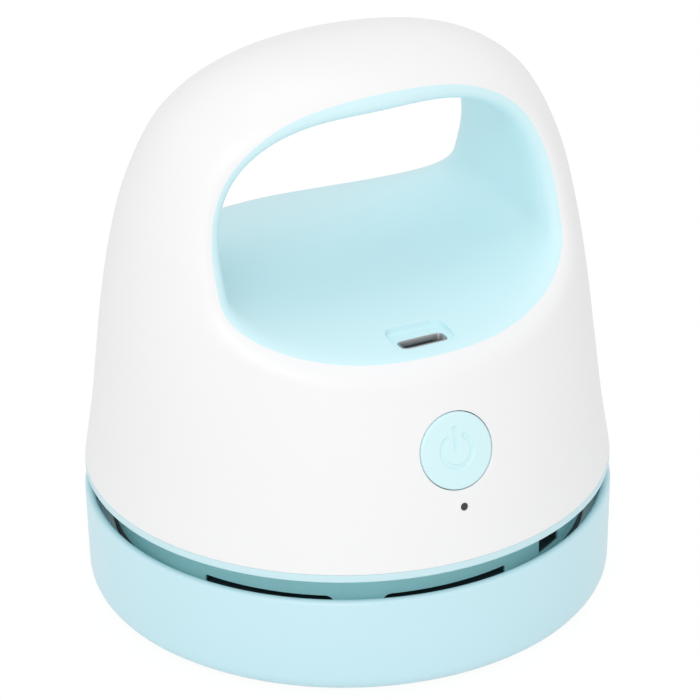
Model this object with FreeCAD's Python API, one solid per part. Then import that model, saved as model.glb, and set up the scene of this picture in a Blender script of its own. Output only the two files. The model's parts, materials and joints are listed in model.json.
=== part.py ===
import FreeCAD, Part
import math
import os

from FreeCAD import Vector

# A desktop mini vacuum cleaner. Lengths are in millimetres and angles in degrees.
# The origin is the middle of the base on the desk, +Z is up and the button faces -Y.

# Outer form of the upper casing: ellipses stacked from the seam up to the crown
crown_height = 91.1
seam_radius = 41.2
casing_wall = 1.8
seam_round = 0.5
# share of the rise, then of the seam radius across (X) and front to back (Y)
form_shares = [
    (0.0, 1.0, 1.0),
    (0.121, 0.971, 0.959),
    (0.265, 0.953, 0.891),
    (0.409, 0.938, 0.803),
    (0.552, 0.910, 0.711),
    (0.696, 0.859, 0.614),
    (0.840, 0.750, 0.498),
    (0.898, 0.662, 0.420),
    (0.941, 0.555, 0.330),
    (0.970, 0.441, 0.240),
    (0.988, 0.313, 0.150),
]

# Hand hole through the casing, with rolled rims at the front and back
handle_thickness = 8.7
handle_side_width = 10.79
hole_floor_rise = 10.8
hole_middle_share = 0.2587
hole_floor_sag = 1.9
hole_floor_run = 27.0
hole_squareness_above = 3.3
hole_squareness_below = 2.8
rim_roll = 4.9
rim_lift = 0.6
rim_flare = 3.0
rim_steps = 24
rim_reach_share = 0.62
rim_level_shares = (1.0, 0.75, 0.5, 0.25, 0.0)
hole_wall_shares = (-0.66, -0.33, 0.0, 0.33, 0.66)
liner_wall = 2.0

# Clearances and the overrun of every cut
fit_gap = 0.1
slide_gap = 0.25
rest_gap = 0.3
shaft_gap = 0.05
overrun = 5.0

# Dust cup that stands on the desk
cup_step = 0.25
cup_draft = 0.4
cup_rim_gap = 3.3
cup_wall = 1.5
cup_rim_round = 0.7
cup_foot_round = 3.0
cup_lift = 0.3
cup_floor_height = 2.2
cup_floor = 1.2
cup_foot_width = 4.6
cup_ledge = 2.0
dome_radius = 21.0
dome_height = 5.0
dome_brim = 1.2
dome_brim_height = 0.8
inlet_radius = 8.0
inlet_lip = 1.0
rib_count = 6
rib_width = 1.2
rib_depth = 2.4

# Brush ring round the inlet, and the glide feet
brush_inner_step = 1.6
brush_outer_gap = 1.0
brush_plate = 1.3
tuft_radius = 0.85
# each ring of tufts: how many, and where it lies across the holder's width
tuft_counts = (16, 24)
tuft_circle_shares = (0.26, 0.717)
tuft_end_height = 0.2
tuft_tip_share = 0.8
foot_radius = 2.6
foot_inset = 9.05
foot_count = 4
foot_round = 0.5

# Filter on its frame, and the rubber ring that seals it
chamber_gap = 2.4
filter_height = 2.1
filter_rim_width = 6.95
filter_hub_radius = 5.0
filter_spoke_width = 1.6
filter_spoke_count = 6
filter_shelf = 0.8
mesh_thickness = 0.3
pad_thickness = 0.7
seal_width = 1.8
seal_groove = 0.4

# Exhaust collar under the casing: lip, deck and windowed wall
lip_height = 1.5
lip_step = 0.04
collar_inset = 4.2
collar_wall = 1.6
collar_height = 6.0
spigot_height = 2.2
spigot_wall = 1.4
spigot_gap = 0.7
window_sill = 0.5
window_lintel = 0.5
window_angle = 32.5
window_pitch = 44.5
deck_bore_radius = 5.2

# Plate with the fan's intake, screwed under the collar
intake_plate = 1.2
intake_rise = 1.0
intake_radius = 12.0
intake_ring_inset = 5.4
intake_ring_width = 1.2
intake_spoke_width = 1.2
intake_spoke_count = 5

# Fan wheel
fan_edge_gap = 9.4
fan_eye_inset = 0.5
fan_low_gap = 0.5
fan_disc = 0.8
fan_top_gap = 1.2
fan_hub_radius = 3.6
fan_blade = 0.9
fan_blade_count = 11
fan_blade_sweep = 38.0

# Motor, standing on the deck
motor_radius = 12.1
motor_stand = 1.0
motor_length = 20.4
motor_wall = 1.0
motor_round = 1.2
motor_nose_radius = 5.0
motor_nose_height = 1.6
magnet_thickness = 2.0
magnet_angle = 140.0
magnet_margin = 6.4
armature_air_gap = 0.6
armature_margin = 7.4
armature_slots = 5
armature_slot_width = 1.8
armature_slot_depth = 4.2
armature_core_radius = 2.9
shaft_radius = 1.0
shaft_inset = 0.2
bearing_radius = 2.8
bearing_height = 2.2
cap_height = 2.6
cap_inset = 0.7
terminal_width = 2.2
terminal_thickness = 0.5
terminal_height = 4.0
terminal_inset = 5.1
bracket_flange = 4.9
bracket_plate = 0.8
bracket_collar = 4.0
bracket_collar_wall = 1.2
bracket_screw_step = 2.6

# Battery on its cradle, behind the motor
cell_length = 34.0
cell_stand = 13.9
cell_front_gap = 2.9
cell_back_gap = 1.57
cell_round = 0.8
tab_radius = 3.0
tab_thickness = 0.5
cradle_wall = 1.4
cradle_inset = 4.0
cradle_hug_share = 0.35
cradle_foot = 1.4
cradle_foot_run = 5.0

# Screw posts that tie the collar to the casing
post_radius = 2.8
post_inset = 9.6
post_rise = 18.4
post_angles = (30.0, 150.0, 210.0, 330.0)
post_rib = 1.6
screw_radius = 1.0
screw_head_radius = 2.0
screw_head_height = 1.2
screw_length = 7.0
screw_slot_width = 0.6
screw_slot_depth = 0.5

# Button, set square to the sloping front; its places run along its own axis
button_height_share = 0.5124
button_radius = 5.95
button_proud = 0.12
button_edge_round = 0.3
flange_step = 1.45
flange_thickness = 1.0
flange_back = 4.6
stem_radius = 2.2
stem_back = 6.6
mark_ring_radius = 2.5
mark_width = 0.62
mark_depth = 0.3
mark_open_angle = 70.0
mark_bar_low = 0.5
mark_bar_high = 3.4

# Switch and control board behind the button
board_front = 10.9
board_thickness = 1.2
board_half_width = 13.0
board_top = 7.5
board_floor_gap = 4.5
board_round = 1.0
switch_half_width = 3.0
switch_front = 8.0
switch_bore_radius = 1.7
switch_bore_depth = 1.4
plunger_radius = 1.6
plunger_back = 8.3
board_post_radius = 2.3
board_post_across = 9.8
board_post_up = 3.6
board_screw_length = 4.6
# middle (across, up), width and height of each chip, as shares of the board's half width
chip_shares = ((-0.65, -0.38, 0.28, 0.28), (0.58, -0.42, 0.38, 0.23), (-0.54, -0.74, 0.34, 0.12))
chip_height = 1.0

# Charge lamp in its pinhole under the button
lamp_drop = 8.75
lamp_hole_radius = 0.62
lamp_pipe_radius = 0.56
lamp_pipe_front = 0.5
lamp_pipe_back = 8.7
lamp_flange_radius = 1.5
lamp_flange = 0.8
lamp_radius = 1.4
lamp_height = 1.6

# Charging socket, standing in a recess of the hand hole's floor
socket_setback = 5.67
socket_length = 5.6
socket_half_width = 3.75
socket_half_depth = 1.35
socket_wall = 0.3
socket_round = 0.9
tongue_side_gap = 0.85
tongue_half_depth = 0.3
tongue_drop = 0.8
recess_side = 1.05
recess_depth = 0.59
recess_front = 2.3
recess_back = 2.9
recess_round = 1.2
recess_rim = 1.6
recess_floor = 2.0
charge_board_thickness = 1.0
charge_board_half_width = 9.0
charge_board_front = 4.0
charge_board_back = 8.0
charge_post_radius = 1.8
charge_post_across = 6.8
charge_post_back = 5.4
charge_screw_radius = 0.8
charge_screw_head_radius = 1.5
charge_screw_head_height = 0.9
charge_screw_length = 3.4

# Heights, stacked from the desk up to the seam
dome_top = dome_height + cup_floor
floor_top = cup_floor_height + cup_floor
filter_low = dome_top + inlet_lip + chamber_gap
filter_high = filter_low + filter_height
plate_low = filter_high + intake_rise
plate_top = plate_low + intake_plate
collar_low = plate_top + fit_gap
lip_low = collar_low + collar_height
lip_top = lip_low + lip_height
seam_height = lip_top + fit_gap
cup_height = lip_low - cup_rim_gap
seal_top = plate_low - rest_gap
window_low = collar_low + window_sill
window_high = lip_low - window_lintel

# Radii that follow the seam
lip_radius = seam_radius + lip_step
collar_radius = seam_radius - collar_inset
post_circle = seam_radius - post_inset
cup_top_radius = seam_radius + cup_step
cup_foot_radius = cup_top_radius - cup_draft
cup_inner_radius = cup_top_radius - cup_wall
foot_inner_radius = cup_foot_radius - cup_foot_width
ledge_radius = foot_inner_radius + cup_ledge
foot_circle = cup_foot_radius - foot_inset
filter_inner_radius = cup_inner_radius - filter_rim_width
brush_inner_radius = inlet_radius + brush_inner_step
brush_outer_radius = dome_radius - cup_floor - brush_outer_gap

# Fan and motor
fan_radius = collar_radius - collar_wall - fan_edge_gap
fan_eye_radius = intake_radius - fan_eye_inset
fan_low = plate_top + fan_low_gap
intake_ring_radius = intake_radius - intake_ring_inset
motor_low = seam_height + motor_stand
motor_high = motor_low + motor_length
magnet_height = motor_length - magnet_margin
armature_height = motor_length - armature_margin
armature_radius = motor_radius - motor_wall - fit_gap - magnet_thickness - armature_air_gap
shaft_low = fan_low + shaft_inset
terminal_spread = motor_radius - terminal_inset
bracket_radius = motor_radius + bracket_flange
bracket_screw_circle = motor_radius + bracket_screw_step
post_height = seam_height + post_rise

# Profile of the casing's skin: sizes at its listed heights, with the crown as the last one
casing_rise = crown_height - seam_height
form_heights = [seam_height + casing_rise * rise for rise, _, _ in form_shares] + [crown_height]
form_widths = [seam_radius * width for _, width, _ in form_shares] + [0]
form_depths = [seam_radius * depth for _, _, depth in form_shares] + [0]
form_places = [1 - math.sqrt(1 - rise) for rise, _, _ in form_shares] + [1]


def between(value, places, sizes):
    """Size at a place, on a smooth curve (cubic Hermite) through the listed ones."""
    last = len(places) - 1
    i = 0
    while i < last - 1 and value > places[i + 1]:
        i += 1
    slopes = []
    for k in (i, i + 1):
        below = max(k - 1, 0)
        above = min(k + 1, last)
        slopes.append((sizes[above] - sizes[below]) / (places[above] - places[below]))
    step = places[i + 1] - places[i]
    part = min(max((value - places[i]) / step, 0), 1)
    rest = 1 - part
    held = sizes[i] * (1 + 2 * part) * rest ** 2 + sizes[i + 1] * (1 + 2 * rest) * part ** 2
    return held + step * (slopes[0] * part * rest ** 2 - slopes[1] * part ** 2 * rest)


def crown_place(height):
    """Place of a height on the scale 1 - sqrt(1 - t), which closes the crown round; t is its share."""
    share = (height - seam_height) / casing_rise
    return 1 - math.sqrt(max(1 - share, 0))


def form_width(height):
    return between(crown_place(height), form_places, form_widths)


def form_depth(height):
    return between(crown_place(height), form_places, form_depths)


# Hand hole, between the motor and the crown
hole_floor_height = motor_high + hole_floor_rise
hole_top_height = crown_height - handle_thickness
hole_middle_height = hole_floor_height + (hole_top_height - hole_floor_height) * hole_middle_share
hole_half_width = form_width(hole_middle_height) - handle_side_width

# Button, square to the skin's chord between its lower and upper edge
button_height = seam_height + (hole_floor_height - seam_height) * button_height_share
button_depth = form_depth(button_height)
button_drop = form_depth(button_height - button_radius) - form_depth(button_height + button_radius)
button_lean = math.degrees(math.atan2(button_drop, 2 * button_radius))
flange_radius = button_radius + flange_step
board_bottom = button_height - seam_height - board_floor_gap

# Charging socket in the hole's floor
socket_offset = form_depth(hole_floor_height) - socket_setback
socket_height = hole_floor_height - hole_floor_sag * (socket_offset / hole_floor_run) ** 2 - recess_depth
recess_half_width = socket_half_width + recess_side
tongue_half_width = socket_half_width - socket_wall - tongue_side_gap

# Battery cell: what fits between the motor and the skin at the cell's ends
cell_height = seam_height + cell_stand
cell_end_share = cell_length / 2 / form_width(cell_height)
cell_room = form_depth(cell_height) * math.sqrt(1 - cell_end_share ** 2) - casing_wall - motor_radius
cell_radius = (cell_room - cell_front_gap - cell_back_gap) / 2
cell_offset = motor_radius + cell_front_gap + cell_radius

full_turn = 360.0
up = Vector(0, 0, 1)


# General shapes


def disc(radius, low, high, x=0, y=0):
    return Part.makeCylinder(radius, high - low, Vector(x, y, low))


def ring(outer, inner, low, high, x=0, y=0):
    bore = disc(inner, low - overrun, high + overrun, x, y)
    return disc(outer, low, high, x, y).cut(bore)


def block(x_low, x_high, y_low, y_high, low, high):
    corner = Vector(x_low, y_low, low)
    return Part.makeBox(x_high - x_low, y_high - y_low, high - low, corner)


def rounded_outline(corners):
    """Closed outline in a plane; each corner is (point, radius of its rounding)."""
    edges = []
    ends = []
    for i, (point, radius) in enumerate(corners):
        before = corners[i - 1][0] - point
        after = corners[(i + 1) % len(corners)][0] - point
        before.normalize()
        after.normalize()
        if radius == 0:
            ends.append((point, point))
            continue
        half = before.getAngle(after) / 2
        setback = radius / math.tan(half)
        middle = before + after
        middle.normalize()
        start = point + before * setback
        end = point + after * setback
        crest = point + middle * (radius / math.sin(half) - radius)
        edges.append(Part.Arc(start, crest, end).toShape())
        ends.append((start, end))
    for i, (_, end) in enumerate(ends):
        start = ends[(i + 1) % len(ends)][0]
        if (start - end).Length > 0:
            edges.append(Part.makeLine(end, start))
    return Part.Wire(Part.__sortEdges__(edges))


def turned(profile):
    """Solid turned about Z from a profile of (radius, height, rounding) corners."""
    corners = [(Vector(r, 0, z), rounding) for r, z, rounding in profile]
    face = Part.Face(rounded_outline(corners))
    return face.revolve(Vector(0, 0, 0), up, full_turn)


def slab(half_width, y_low, y_high, low, high, rounding):
    """Flat plate with rounded corners, level, its sides along X and Y."""
    corners = [
        (Vector(-half_width, y_low, low), rounding),
        (Vector(half_width, y_low, low), rounding),
        (Vector(half_width, y_high, low), rounding),
        (Vector(-half_width, y_high, low), rounding),
    ]
    return Part.Face(rounded_outline(corners)).extrude(up * (high - low))


def spun(shape, angle):
    copy = shape.copy()
    copy.rotate(Vector(0, 0, 0), up, angle)
    return copy


def repeated(shape, count, start=0):
    return [spun(shape, start + full_turn * i / count) for i in range(count)]


def joined(shapes):
    return shapes[0].fuse(shapes[1:]).removeSplitter()


def grouped(shapes):
    return Part.makeCompound(shapes)


def sector(outer, inner, low, high, angle, middle):
    """Piece of a ring, angle wide, about the direction middle."""
    piece = Part.makeCylinder(outer, high - low, Vector(0, 0, low), up, angle)
    piece = piece.cut(disc(inner, low - overrun, high + overrun))
    return spun(piece, middle - angle / 2)


def screw(x, y, head_low, head_radius, head_height, radius, length):
    """Pan-head screw pointing up, its slotted head at the bottom."""
    head = disc(head_radius, head_low, head_low + head_height, x, y)
    shank = disc(radius, head_low, head_low + head_height + length, x, y)
    half_slot = screw_slot_width / 2
    slot = block(
        x - head_radius - overrun, x + head_radius + overrun,
        y - half_slot, y + half_slot,
        head_low - overrun, head_low + screw_slot_depth,
    )
    return joined([head, shank]).cut(slot)


# Outer form and hand hole


def moved_in(sizes, inset, i):
    """Height and size of profile point i after moving it inwards, square to the profile."""
    last = len(form_shares) - 1
    below = max(i - 1, 0)
    above = min(i + 1, last)
    rise = form_heights[above] - form_heights[below]
    run = sizes[above] - sizes[below]
    length = math.hypot(rise, run)
    height = form_heights[i] + inset * run / length
    return height, sizes[i] - inset * rise / length


def ellipse(half_width, half_depth, height):
    middle = Vector(0, 0, height)
    across = Vector(half_width, 0, height)
    along = Vector(0, half_depth, height)
    curve = Part.Ellipse(across, along, middle)
    return Part.Wire([curve.toShape()])


def casing_form(inset=0, below=0):
    """Solid inside the casing's skin; inset moves it in, below runs it down past the seam."""
    indices = range(len(form_shares))
    widths = [moved_in(form_widths, inset, i) for i in indices]
    depths = [moved_in(form_depths, inset, i) for i in indices]
    depth_places = [crown_place(height) for height, _ in depths]
    depth_sizes = [size for _, size in depths]
    wires = []
    for height, half_width in widths:
        half_depth = min(between(crown_place(height), depth_places, depth_sizes), half_width)
        wires.append(ellipse(half_width, half_depth, height))
    if below > 0:
        height, half_width = widths[0]
        wires.insert(0, ellipse(half_width, half_width, height - below))
    crown = Part.Vertex(0, 0, crown_height - inset)
    return Part.makeLoft(wires + [crown], True)


def skin_depth(reach, turn):
    """Distance of the casing's skin from the XZ plane, reach away from the hole's middle."""
    x = reach * math.cos(turn)
    height = hole_middle_height + reach * math.sin(turn)
    half_width = form_width(height)
    if abs(x) >= half_width:
        return 0
    return form_depth(height) * math.sqrt(1 - (x / half_width) ** 2)


def hole_reach(turn, depth):
    """Distance from the hole's middle to its wall, by the superellipse |c/w|^n + |s/h|^n = 1."""
    across = abs(math.cos(turn))
    rise = math.sin(turn)
    floor = hole_floor_height - hole_floor_sag * (depth / hole_floor_run) ** 2
    half_height = hole_top_height - hole_middle_height
    power = hole_squareness_above
    if rise < 0:
        half_height = hole_middle_height - floor
        power = hole_squareness_below
    total = (across / hole_half_width) ** power + (abs(rise) / half_height) ** power
    return total ** (-1 / power)


def rim_corners(turn):
    """Start, corner and end of the rim's roll at one turn about the hole, as (reach, depth)."""
    depth = hole_floor_run
    for _ in range(rim_steps):
        depth = skin_depth(hole_reach(turn, depth), turn)
    reach = hole_reach(turn, depth)
    slope = (skin_depth(reach + fit_gap, turn) - depth) / fit_gap
    length = math.hypot(1, slope)
    wedge = math.acos(-slope / length)
    setback = min(rim_roll / math.tan(wedge / 2), rim_reach_share * depth)
    inner = depth - setback
    outer = reach + setback / length
    end = (outer, skin_depth(outer, turn) + rim_lift)
    return (hole_reach(turn, inner), inner), (reach, depth), end


def hole_wire(place):
    """Closed curve round the hole through place(turn) = (reach, y)."""
    points = []
    for step in range(rim_steps):
        turn = 2 * math.pi * (step + 0.5) / rim_steps
        reach, y = place(turn)
        height = hole_middle_height + reach * math.sin(turn)
        points.append(Vector(reach * math.cos(turn), y, height))
    curve = Part.BSplineCurve()
    places = list(range(rim_steps + 1))
    curve.interpolate(Points=points, Parameters=places, PeriodicFlag=True)
    return Part.Wire([curve.toShape()])


def roll_wire(level, side):
    """Curve on the rolled rim: level 0 is where the roll leaves the wall, 1 where it meets the skin."""
    def place(turn):
        start, corner, end = rim_corners(turn)
        weights = ((1 - level) ** 2, 2 * level * (1 - level), level ** 2)
        reach = sum(w * p[0] for w, p in zip(weights, (start, corner, end)))
        depth = sum(w * p[1] for w, p in zip(weights, (start, corner, end)))
        return reach, side * depth
    return hole_wire(place)


def mouth_wire(side):
    def place(turn):
        end = rim_corners(turn)[2]
        return end[0] + rim_flare, side * (seam_radius + overrun)
    return hole_wire(place)


def wall_wire(share):
    """Curve on the hole's wall; share counts from its middle, 1 at the back roll and -1 at the front one."""
    def place(turn):
        y = share * rim_corners(turn)[0][1]
        return hole_reach(turn, y), y
    return hole_wire(place)


def ruled(wires):
    pairs = zip(wires, wires[1:])
    return [Part.makeRuledSurface(first.Edges[0], second.Edges[0]) for first, second in pairs]


def hand_hole():
    """Solid that fills the hand hole, with the flared rolls at both mouths."""
    front = [roll_wire(level, -1) for level in rim_level_shares]
    back = [roll_wire(level, 1) for level in reversed(rim_level_shares)]
    walls = [wall_wire(share) for share in hole_wall_shares]
    mouths = [mouth_wire(-1), mouth_wire(1)]
    faces = ruled([mouths[0], front[0]]) + Part.makeLoft(front, False).Faces
    faces += ruled([front[-1]] + walls + [back[0]])
    faces += Part.makeLoft(back, False).Faces + ruled([back[-1], mouths[1]])
    faces += [Part.Face(mouth) for mouth in mouths]
    shell = Part.makeShell(faces)
    shell.sewShape()
    solid = Part.makeSolid(shell)
    if solid.Volume < 0:
        solid.reverse()
    return solid


def hole_sleeve(grow):
    """Plain tube form round the hand hole, grow wider than its wall."""
    def section(y):
        def place(turn):
            return hole_reach(turn, y) + grow, y
        return hole_wire(place)
    run = seam_radius + overrun
    wires = [section(y) for y in (-run, -run / 2, 0, run / 2, run)]
    return Part.makeLoft(wires, True)


# Places along the button's axis


def at_button(shape):
    """Moves a shape drawn about the origin, +Z outwards, to the button on the front."""
    placed = shape.copy()
    placed.rotate(Vector(0, 0, 0), Vector(1, 0, 0), full_turn / 4 - button_lean)
    placed.translate(Vector(0, -button_depth, button_height))
    return placed


def button_disc(radius, back, front, x=0, y=0):
    """Round piece on the button's axis, from back to front, counted inwards from the skin."""
    return disc(radius, -back, -front, x, y)


# Upper casing


def casing_posts():
    """Screw posts for the collar, each tied to the wall by a rib."""
    pieces = []
    rib_end = seam_radius - casing_wall / 2
    base = lip_top + fit_gap
    for angle in post_angles:
        post = disc(post_radius, base, post_height, post_circle)
        rib_low = base + spigot_height + rest_gap
        rib = block(post_circle, rib_end, -post_rib / 2, post_rib / 2, rib_low, post_height)
        bore = disc(screw_radius, base - overrun, base + screw_length, post_circle)
        pieces.append(spun(post.fuse(rib).cut(bore), angle))
    return pieces


def board_posts():
    """Two posts behind the front wall that carry the control board."""
    pieces = []
    for side in (-1, 1):
        x = side * board_post_across
        post = button_disc(board_post_radius, board_front - fit_gap, casing_wall / 2, x, board_post_up)
        bore_end = board_front - board_screw_length
        bore = button_disc(screw_radius, board_front + overrun, bore_end, x, board_post_up)
        pieces.append(at_button(post.cut(bore)))
    return pieces


def make_upper_casing(outer, hollow, hole):
    skin = outer.cut(hole).cut(hollow)
    inside = casing_form(casing_wall / 2, overrun)
    fixings = [post.common(inside) for post in casing_posts() + board_posts()]
    skin = skin.fuse(fixings)
    bore = button_disc(button_radius + slide_gap, casing_wall + overrun, -overrun)
    pinhole = button_disc(lamp_hole_radius, casing_wall + overrun, -overrun, 0, -lamp_drop)
    return skin.cut(at_button(bore)).cut(at_button(pinhole))


# Handle liner with the charging recess


def make_handle_liner(room, hole):
    sleeve = hole_sleeve(liner_wall)
    liner = room.common(sleeve).cut(hole)
    front = -socket_offset - recess_front
    back = -socket_offset + recess_back
    pad_low = socket_height - recess_floor
    pad = slab(
        recess_half_width + recess_rim, front - recess_rim, back + recess_rim,
        pad_low, socket_height + recess_floor, recess_round + recess_rim,
    )
    additions = [pad.common(room).cut(hole)]
    recess = slab(recess_half_width, front, back, socket_height, socket_height + overrun, recess_round)
    for side in (-1, 1):
        x = side * charge_post_across
        y = charge_post_back - socket_offset
        post = disc(charge_post_radius, charge_board_top() + fit_gap, hole_floor_height, x, y)
        additions.append(post.common(room).cut(hole))
    liner = liner.fuse(additions).cut(recess).cut(socket_body(fit_gap))
    for side in (-1, 1):
        x = side * charge_post_across
        y = charge_post_back - socket_offset
        bore_high = charge_board_top() + charge_screw_length - charge_board_thickness
        liner = liner.cut(disc(charge_screw_radius, charge_board_top() - overrun, bore_high, x, y))
    return liner


def socket_body(grow=0):
    return slab(
        socket_half_width + grow,
        -socket_offset - socket_half_depth - grow,
        -socket_offset + socket_half_depth + grow,
        socket_height - socket_length - grow,
        socket_height + grow,
        socket_round,
    )


def charge_board_top():
    return socket_height - socket_length - fit_gap


def make_charging_socket():
    bore = slab(
        socket_half_width - socket_wall,
        -socket_offset - socket_half_depth + socket_wall,
        -socket_offset + socket_half_depth - socket_wall,
        socket_height - socket_length + socket_wall,
        socket_height + overrun,
        socket_round - socket_wall,
    )
    return socket_body().cut(bore)


def make_socket_tongue():
    base = socket_height - socket_length + socket_wall + fit_gap
    y = -socket_offset + tongue_half_depth
    tongue = block(-tongue_half_width, tongue_half_width, y - tongue_half_depth, y + tongue_half_depth,
                   base, socket_height - tongue_drop)
    return tongue


def make_charging_board():
    top = charge_board_top()
    board = slab(
        charge_board_half_width,
        -socket_offset - charge_board_front,
        -socket_offset + charge_board_back,
        top - charge_board_thickness,
        top,
        board_round,
    )
    y = charge_post_back - socket_offset
    for side in (-1, 1):
        x = side * charge_post_across
        board = board.cut(disc(charge_screw_radius + fit_gap, top - overrun, top + overrun, x, y))
    return board


def make_charging_board_screws():
    low = charge_board_top() - charge_board_thickness - fit_gap - charge_screw_head_height
    y = charge_post_back - socket_offset
    return grouped([
        screw(side * charge_post_across, y, low, charge_screw_head_radius, charge_screw_head_height,
              charge_screw_radius - shaft_gap, charge_screw_length)
        for side in (-1, 1)
    ])


# Button, switch, board and lamp


def button_mark():
    """Plain on-off sign: an open ring with an upright bar, sunk into the button's face."""
    outer = mark_ring_radius + mark_width / 2
    inner = mark_ring_radius - mark_width / 2
    arc = sector(outer, inner, -overrun, overrun, full_turn - mark_open_angle, -full_turn / 4)
    bar = block(-mark_width / 2, mark_width / 2, mark_bar_low, mark_bar_high, -overrun, overrun)
    return at_button(arc.fuse(bar))


def make_power_button():
    outside = casing_form(-button_proud)
    shelf = casing_form(mark_depth - button_proud)
    face = at_button(button_disc(button_radius, flange_back, -overrun)).common(outside)
    wide = [edge for edge in face.Edges if edge.BoundBox.XLength > button_radius]
    front = min(wide, key=lambda edge: edge.BoundBox.YMin)
    face = face.makeFillet(button_edge_round, [front])
    face = face.cut(button_mark().cut(shelf))
    flange = button_disc(flange_radius, flange_back, flange_back - flange_thickness)
    stem = button_disc(stem_radius, stem_back, flange_back)
    return joined([face, at_button(flange), at_button(stem)])


def make_switch_plunger():
    return at_button(button_disc(plunger_radius, plunger_back, stem_back + shaft_gap))


def make_tact_switch():
    body = block(-switch_half_width, switch_half_width, -switch_half_width, switch_half_width,
                 -board_front + fit_gap, -switch_front)
    bore = button_disc(switch_bore_radius, switch_front + switch_bore_depth, switch_front - overrun)
    return at_button(body.cut(bore))


def make_control_board():
    back = board_front + board_thickness
    board = slab(board_half_width, -board_bottom, board_top, -back, -board_front, board_round)
    for side in (-1, 1):
        hole = button_disc(screw_radius + fit_gap, board_front + overrun, board_front - overrun,
                           side * board_post_across, board_post_up)
        board = board.cut(hole)
    return at_button(board)


def make_board_chips():
    low = -board_front + fit_gap
    chips = []
    for shares in chip_shares:
        x, y, width, height = [share * board_half_width for share in shares]
        left = x - width / 2
        bottom = y - height / 2
        chips.append(block(left, left + width, bottom, bottom + height, low, low + chip_height))
    return at_button(grouped(chips))


def make_board_screws():
    low = -board_front - board_thickness - fit_gap - screw_head_height
    length = board_screw_length + board_thickness
    return at_button(grouped([
        screw(side * board_post_across, board_post_up, low, screw_head_radius, screw_head_height,
              screw_radius - shaft_gap, length)
        for side in (-1, 1)
    ]))


def make_charge_lamp():
    low = -board_front + fit_gap
    return at_button(disc(lamp_radius, low, low + lamp_height, 0, -lamp_drop))


def make_light_pipe():
    rod = button_disc(lamp_pipe_radius, lamp_pipe_back, lamp_pipe_front, 0, -lamp_drop)
    flange = button_disc(lamp_flange_radius, lamp_pipe_back, lamp_pipe_back - lamp_flange, 0, -lamp_drop)
    return at_button(rod.fuse(flange))


# Exhaust collar, intake plate and their screws


def window(middle):
    """Cutter for one window of the wall, about the direction middle."""
    return sector(collar_radius + overrun, collar_radius - collar_wall - fit_gap,
                  window_low, window_high, window_angle, middle)


def make_exhaust_collar():
    spigot_radius = seam_radius - casing_wall - spigot_gap
    inner = collar_radius - collar_wall
    spigot_top = lip_top + spigot_height
    body = turned([
        (deck_bore_radius, lip_low, 0),
        (inner, lip_low, 0),
        (inner, collar_low, 0),
        (collar_radius, collar_low, 0),
        (collar_radius, lip_low, 0),
        (lip_radius, lip_low, seam_round),
        (lip_radius, lip_top, 0),
        (spigot_radius, lip_top, 0),
        (spigot_radius, spigot_top, 0),
        (spigot_radius - spigot_wall, spigot_top, 0),
        (spigot_radius - spigot_wall, lip_top, 0),
        (deck_bore_radius, lip_top, 0),
    ])
    front = -full_turn / 4
    for facing in (front, -front):
        for place in (-1, 0, 1):
            body = body.cut(window(facing + place * window_pitch))
    low = lip_low - overrun
    high = lip_top + overrun
    bore = disc(screw_radius + fit_gap, low, high, post_circle)
    relief = disc(post_radius + slide_gap, lip_top, spigot_top + overrun, post_circle)
    for angle in post_angles:
        body = body.cut(spun(bore, angle)).cut(spun(relief, angle))
    for angle in bracket_screw_angles():
        body = body.cut(spun(disc(screw_radius, low, high, bracket_screw_circle), angle))
    return body


def make_casing_screws():
    low = lip_low - fit_gap - screw_head_height
    length = lip_height + screw_length - fit_gap
    shank = screw_radius - shaft_gap
    one = screw(post_circle, 0, low, screw_head_radius, screw_head_height, shank, length)
    return grouped([spun(one, angle) for angle in post_angles])


def make_intake_plate():
    outer = collar_radius
    plate = ring(outer, intake_radius, plate_low, plate_top)
    guard = ring(intake_ring_radius + intake_ring_width / 2, intake_ring_radius - intake_ring_width / 2,
                 plate_low, plate_top)
    half = intake_spoke_width / 2
    spoke = block(intake_ring_radius, intake_radius + intake_plate, -half, half, plate_low, plate_top)
    return joined([plate, guard] + repeated(spoke, intake_spoke_count, full_turn / 4))


# Fan wheel and motor


def make_fan_wheel():
    disc_top = lip_low - fan_top_gap
    disc_low = disc_top - fan_disc
    back = disc(fan_radius, disc_low, disc_top)
    hub = disc(fan_hub_radius, fan_low, disc_top)
    blades = []
    for i in range(fan_blade_count):
        blades.append(spun(fan_blade_shape(disc_low), full_turn * i / fan_blade_count))
    wheel = joined([back, hub] + blades)
    return wheel.cut(disc(shaft_radius + shaft_gap / 2, fan_low - overrun, disc_top + overrun))


def fan_blade_shape(disc_low):
    """Backward-swept blade: an arc from the eye to the edge, thickened evenly."""
    sweep = math.radians(fan_blade_sweep)
    radii = (fan_eye_radius, (fan_eye_radius + fan_radius) / 2, fan_radius - fan_blade)
    turns = (0, sweep / 3, sweep)

    def side_points(side):
        turned_by = [turn + side * fan_blade / 2 / radius for radius, turn in zip(radii, turns)]
        return [Vector(r * math.cos(a), r * math.sin(a), fan_low) for r, a in zip(radii, turned_by)]

    near = side_points(-1)
    far = side_points(1)
    outline = Part.Wire([
        Part.Arc(*near).toShape(),
        Part.makeLine(near[2], far[2]),
        Part.Arc(*reversed(far)).toShape(),
        Part.makeLine(far[0], near[0]),
    ])
    return Part.Face(outline).extrude(up * (disc_low + fan_disc / 2 - fan_low))


def make_motor_shaft():
    return disc(shaft_radius, shaft_low, motor_high + cap_height - motor_wall)


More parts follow.
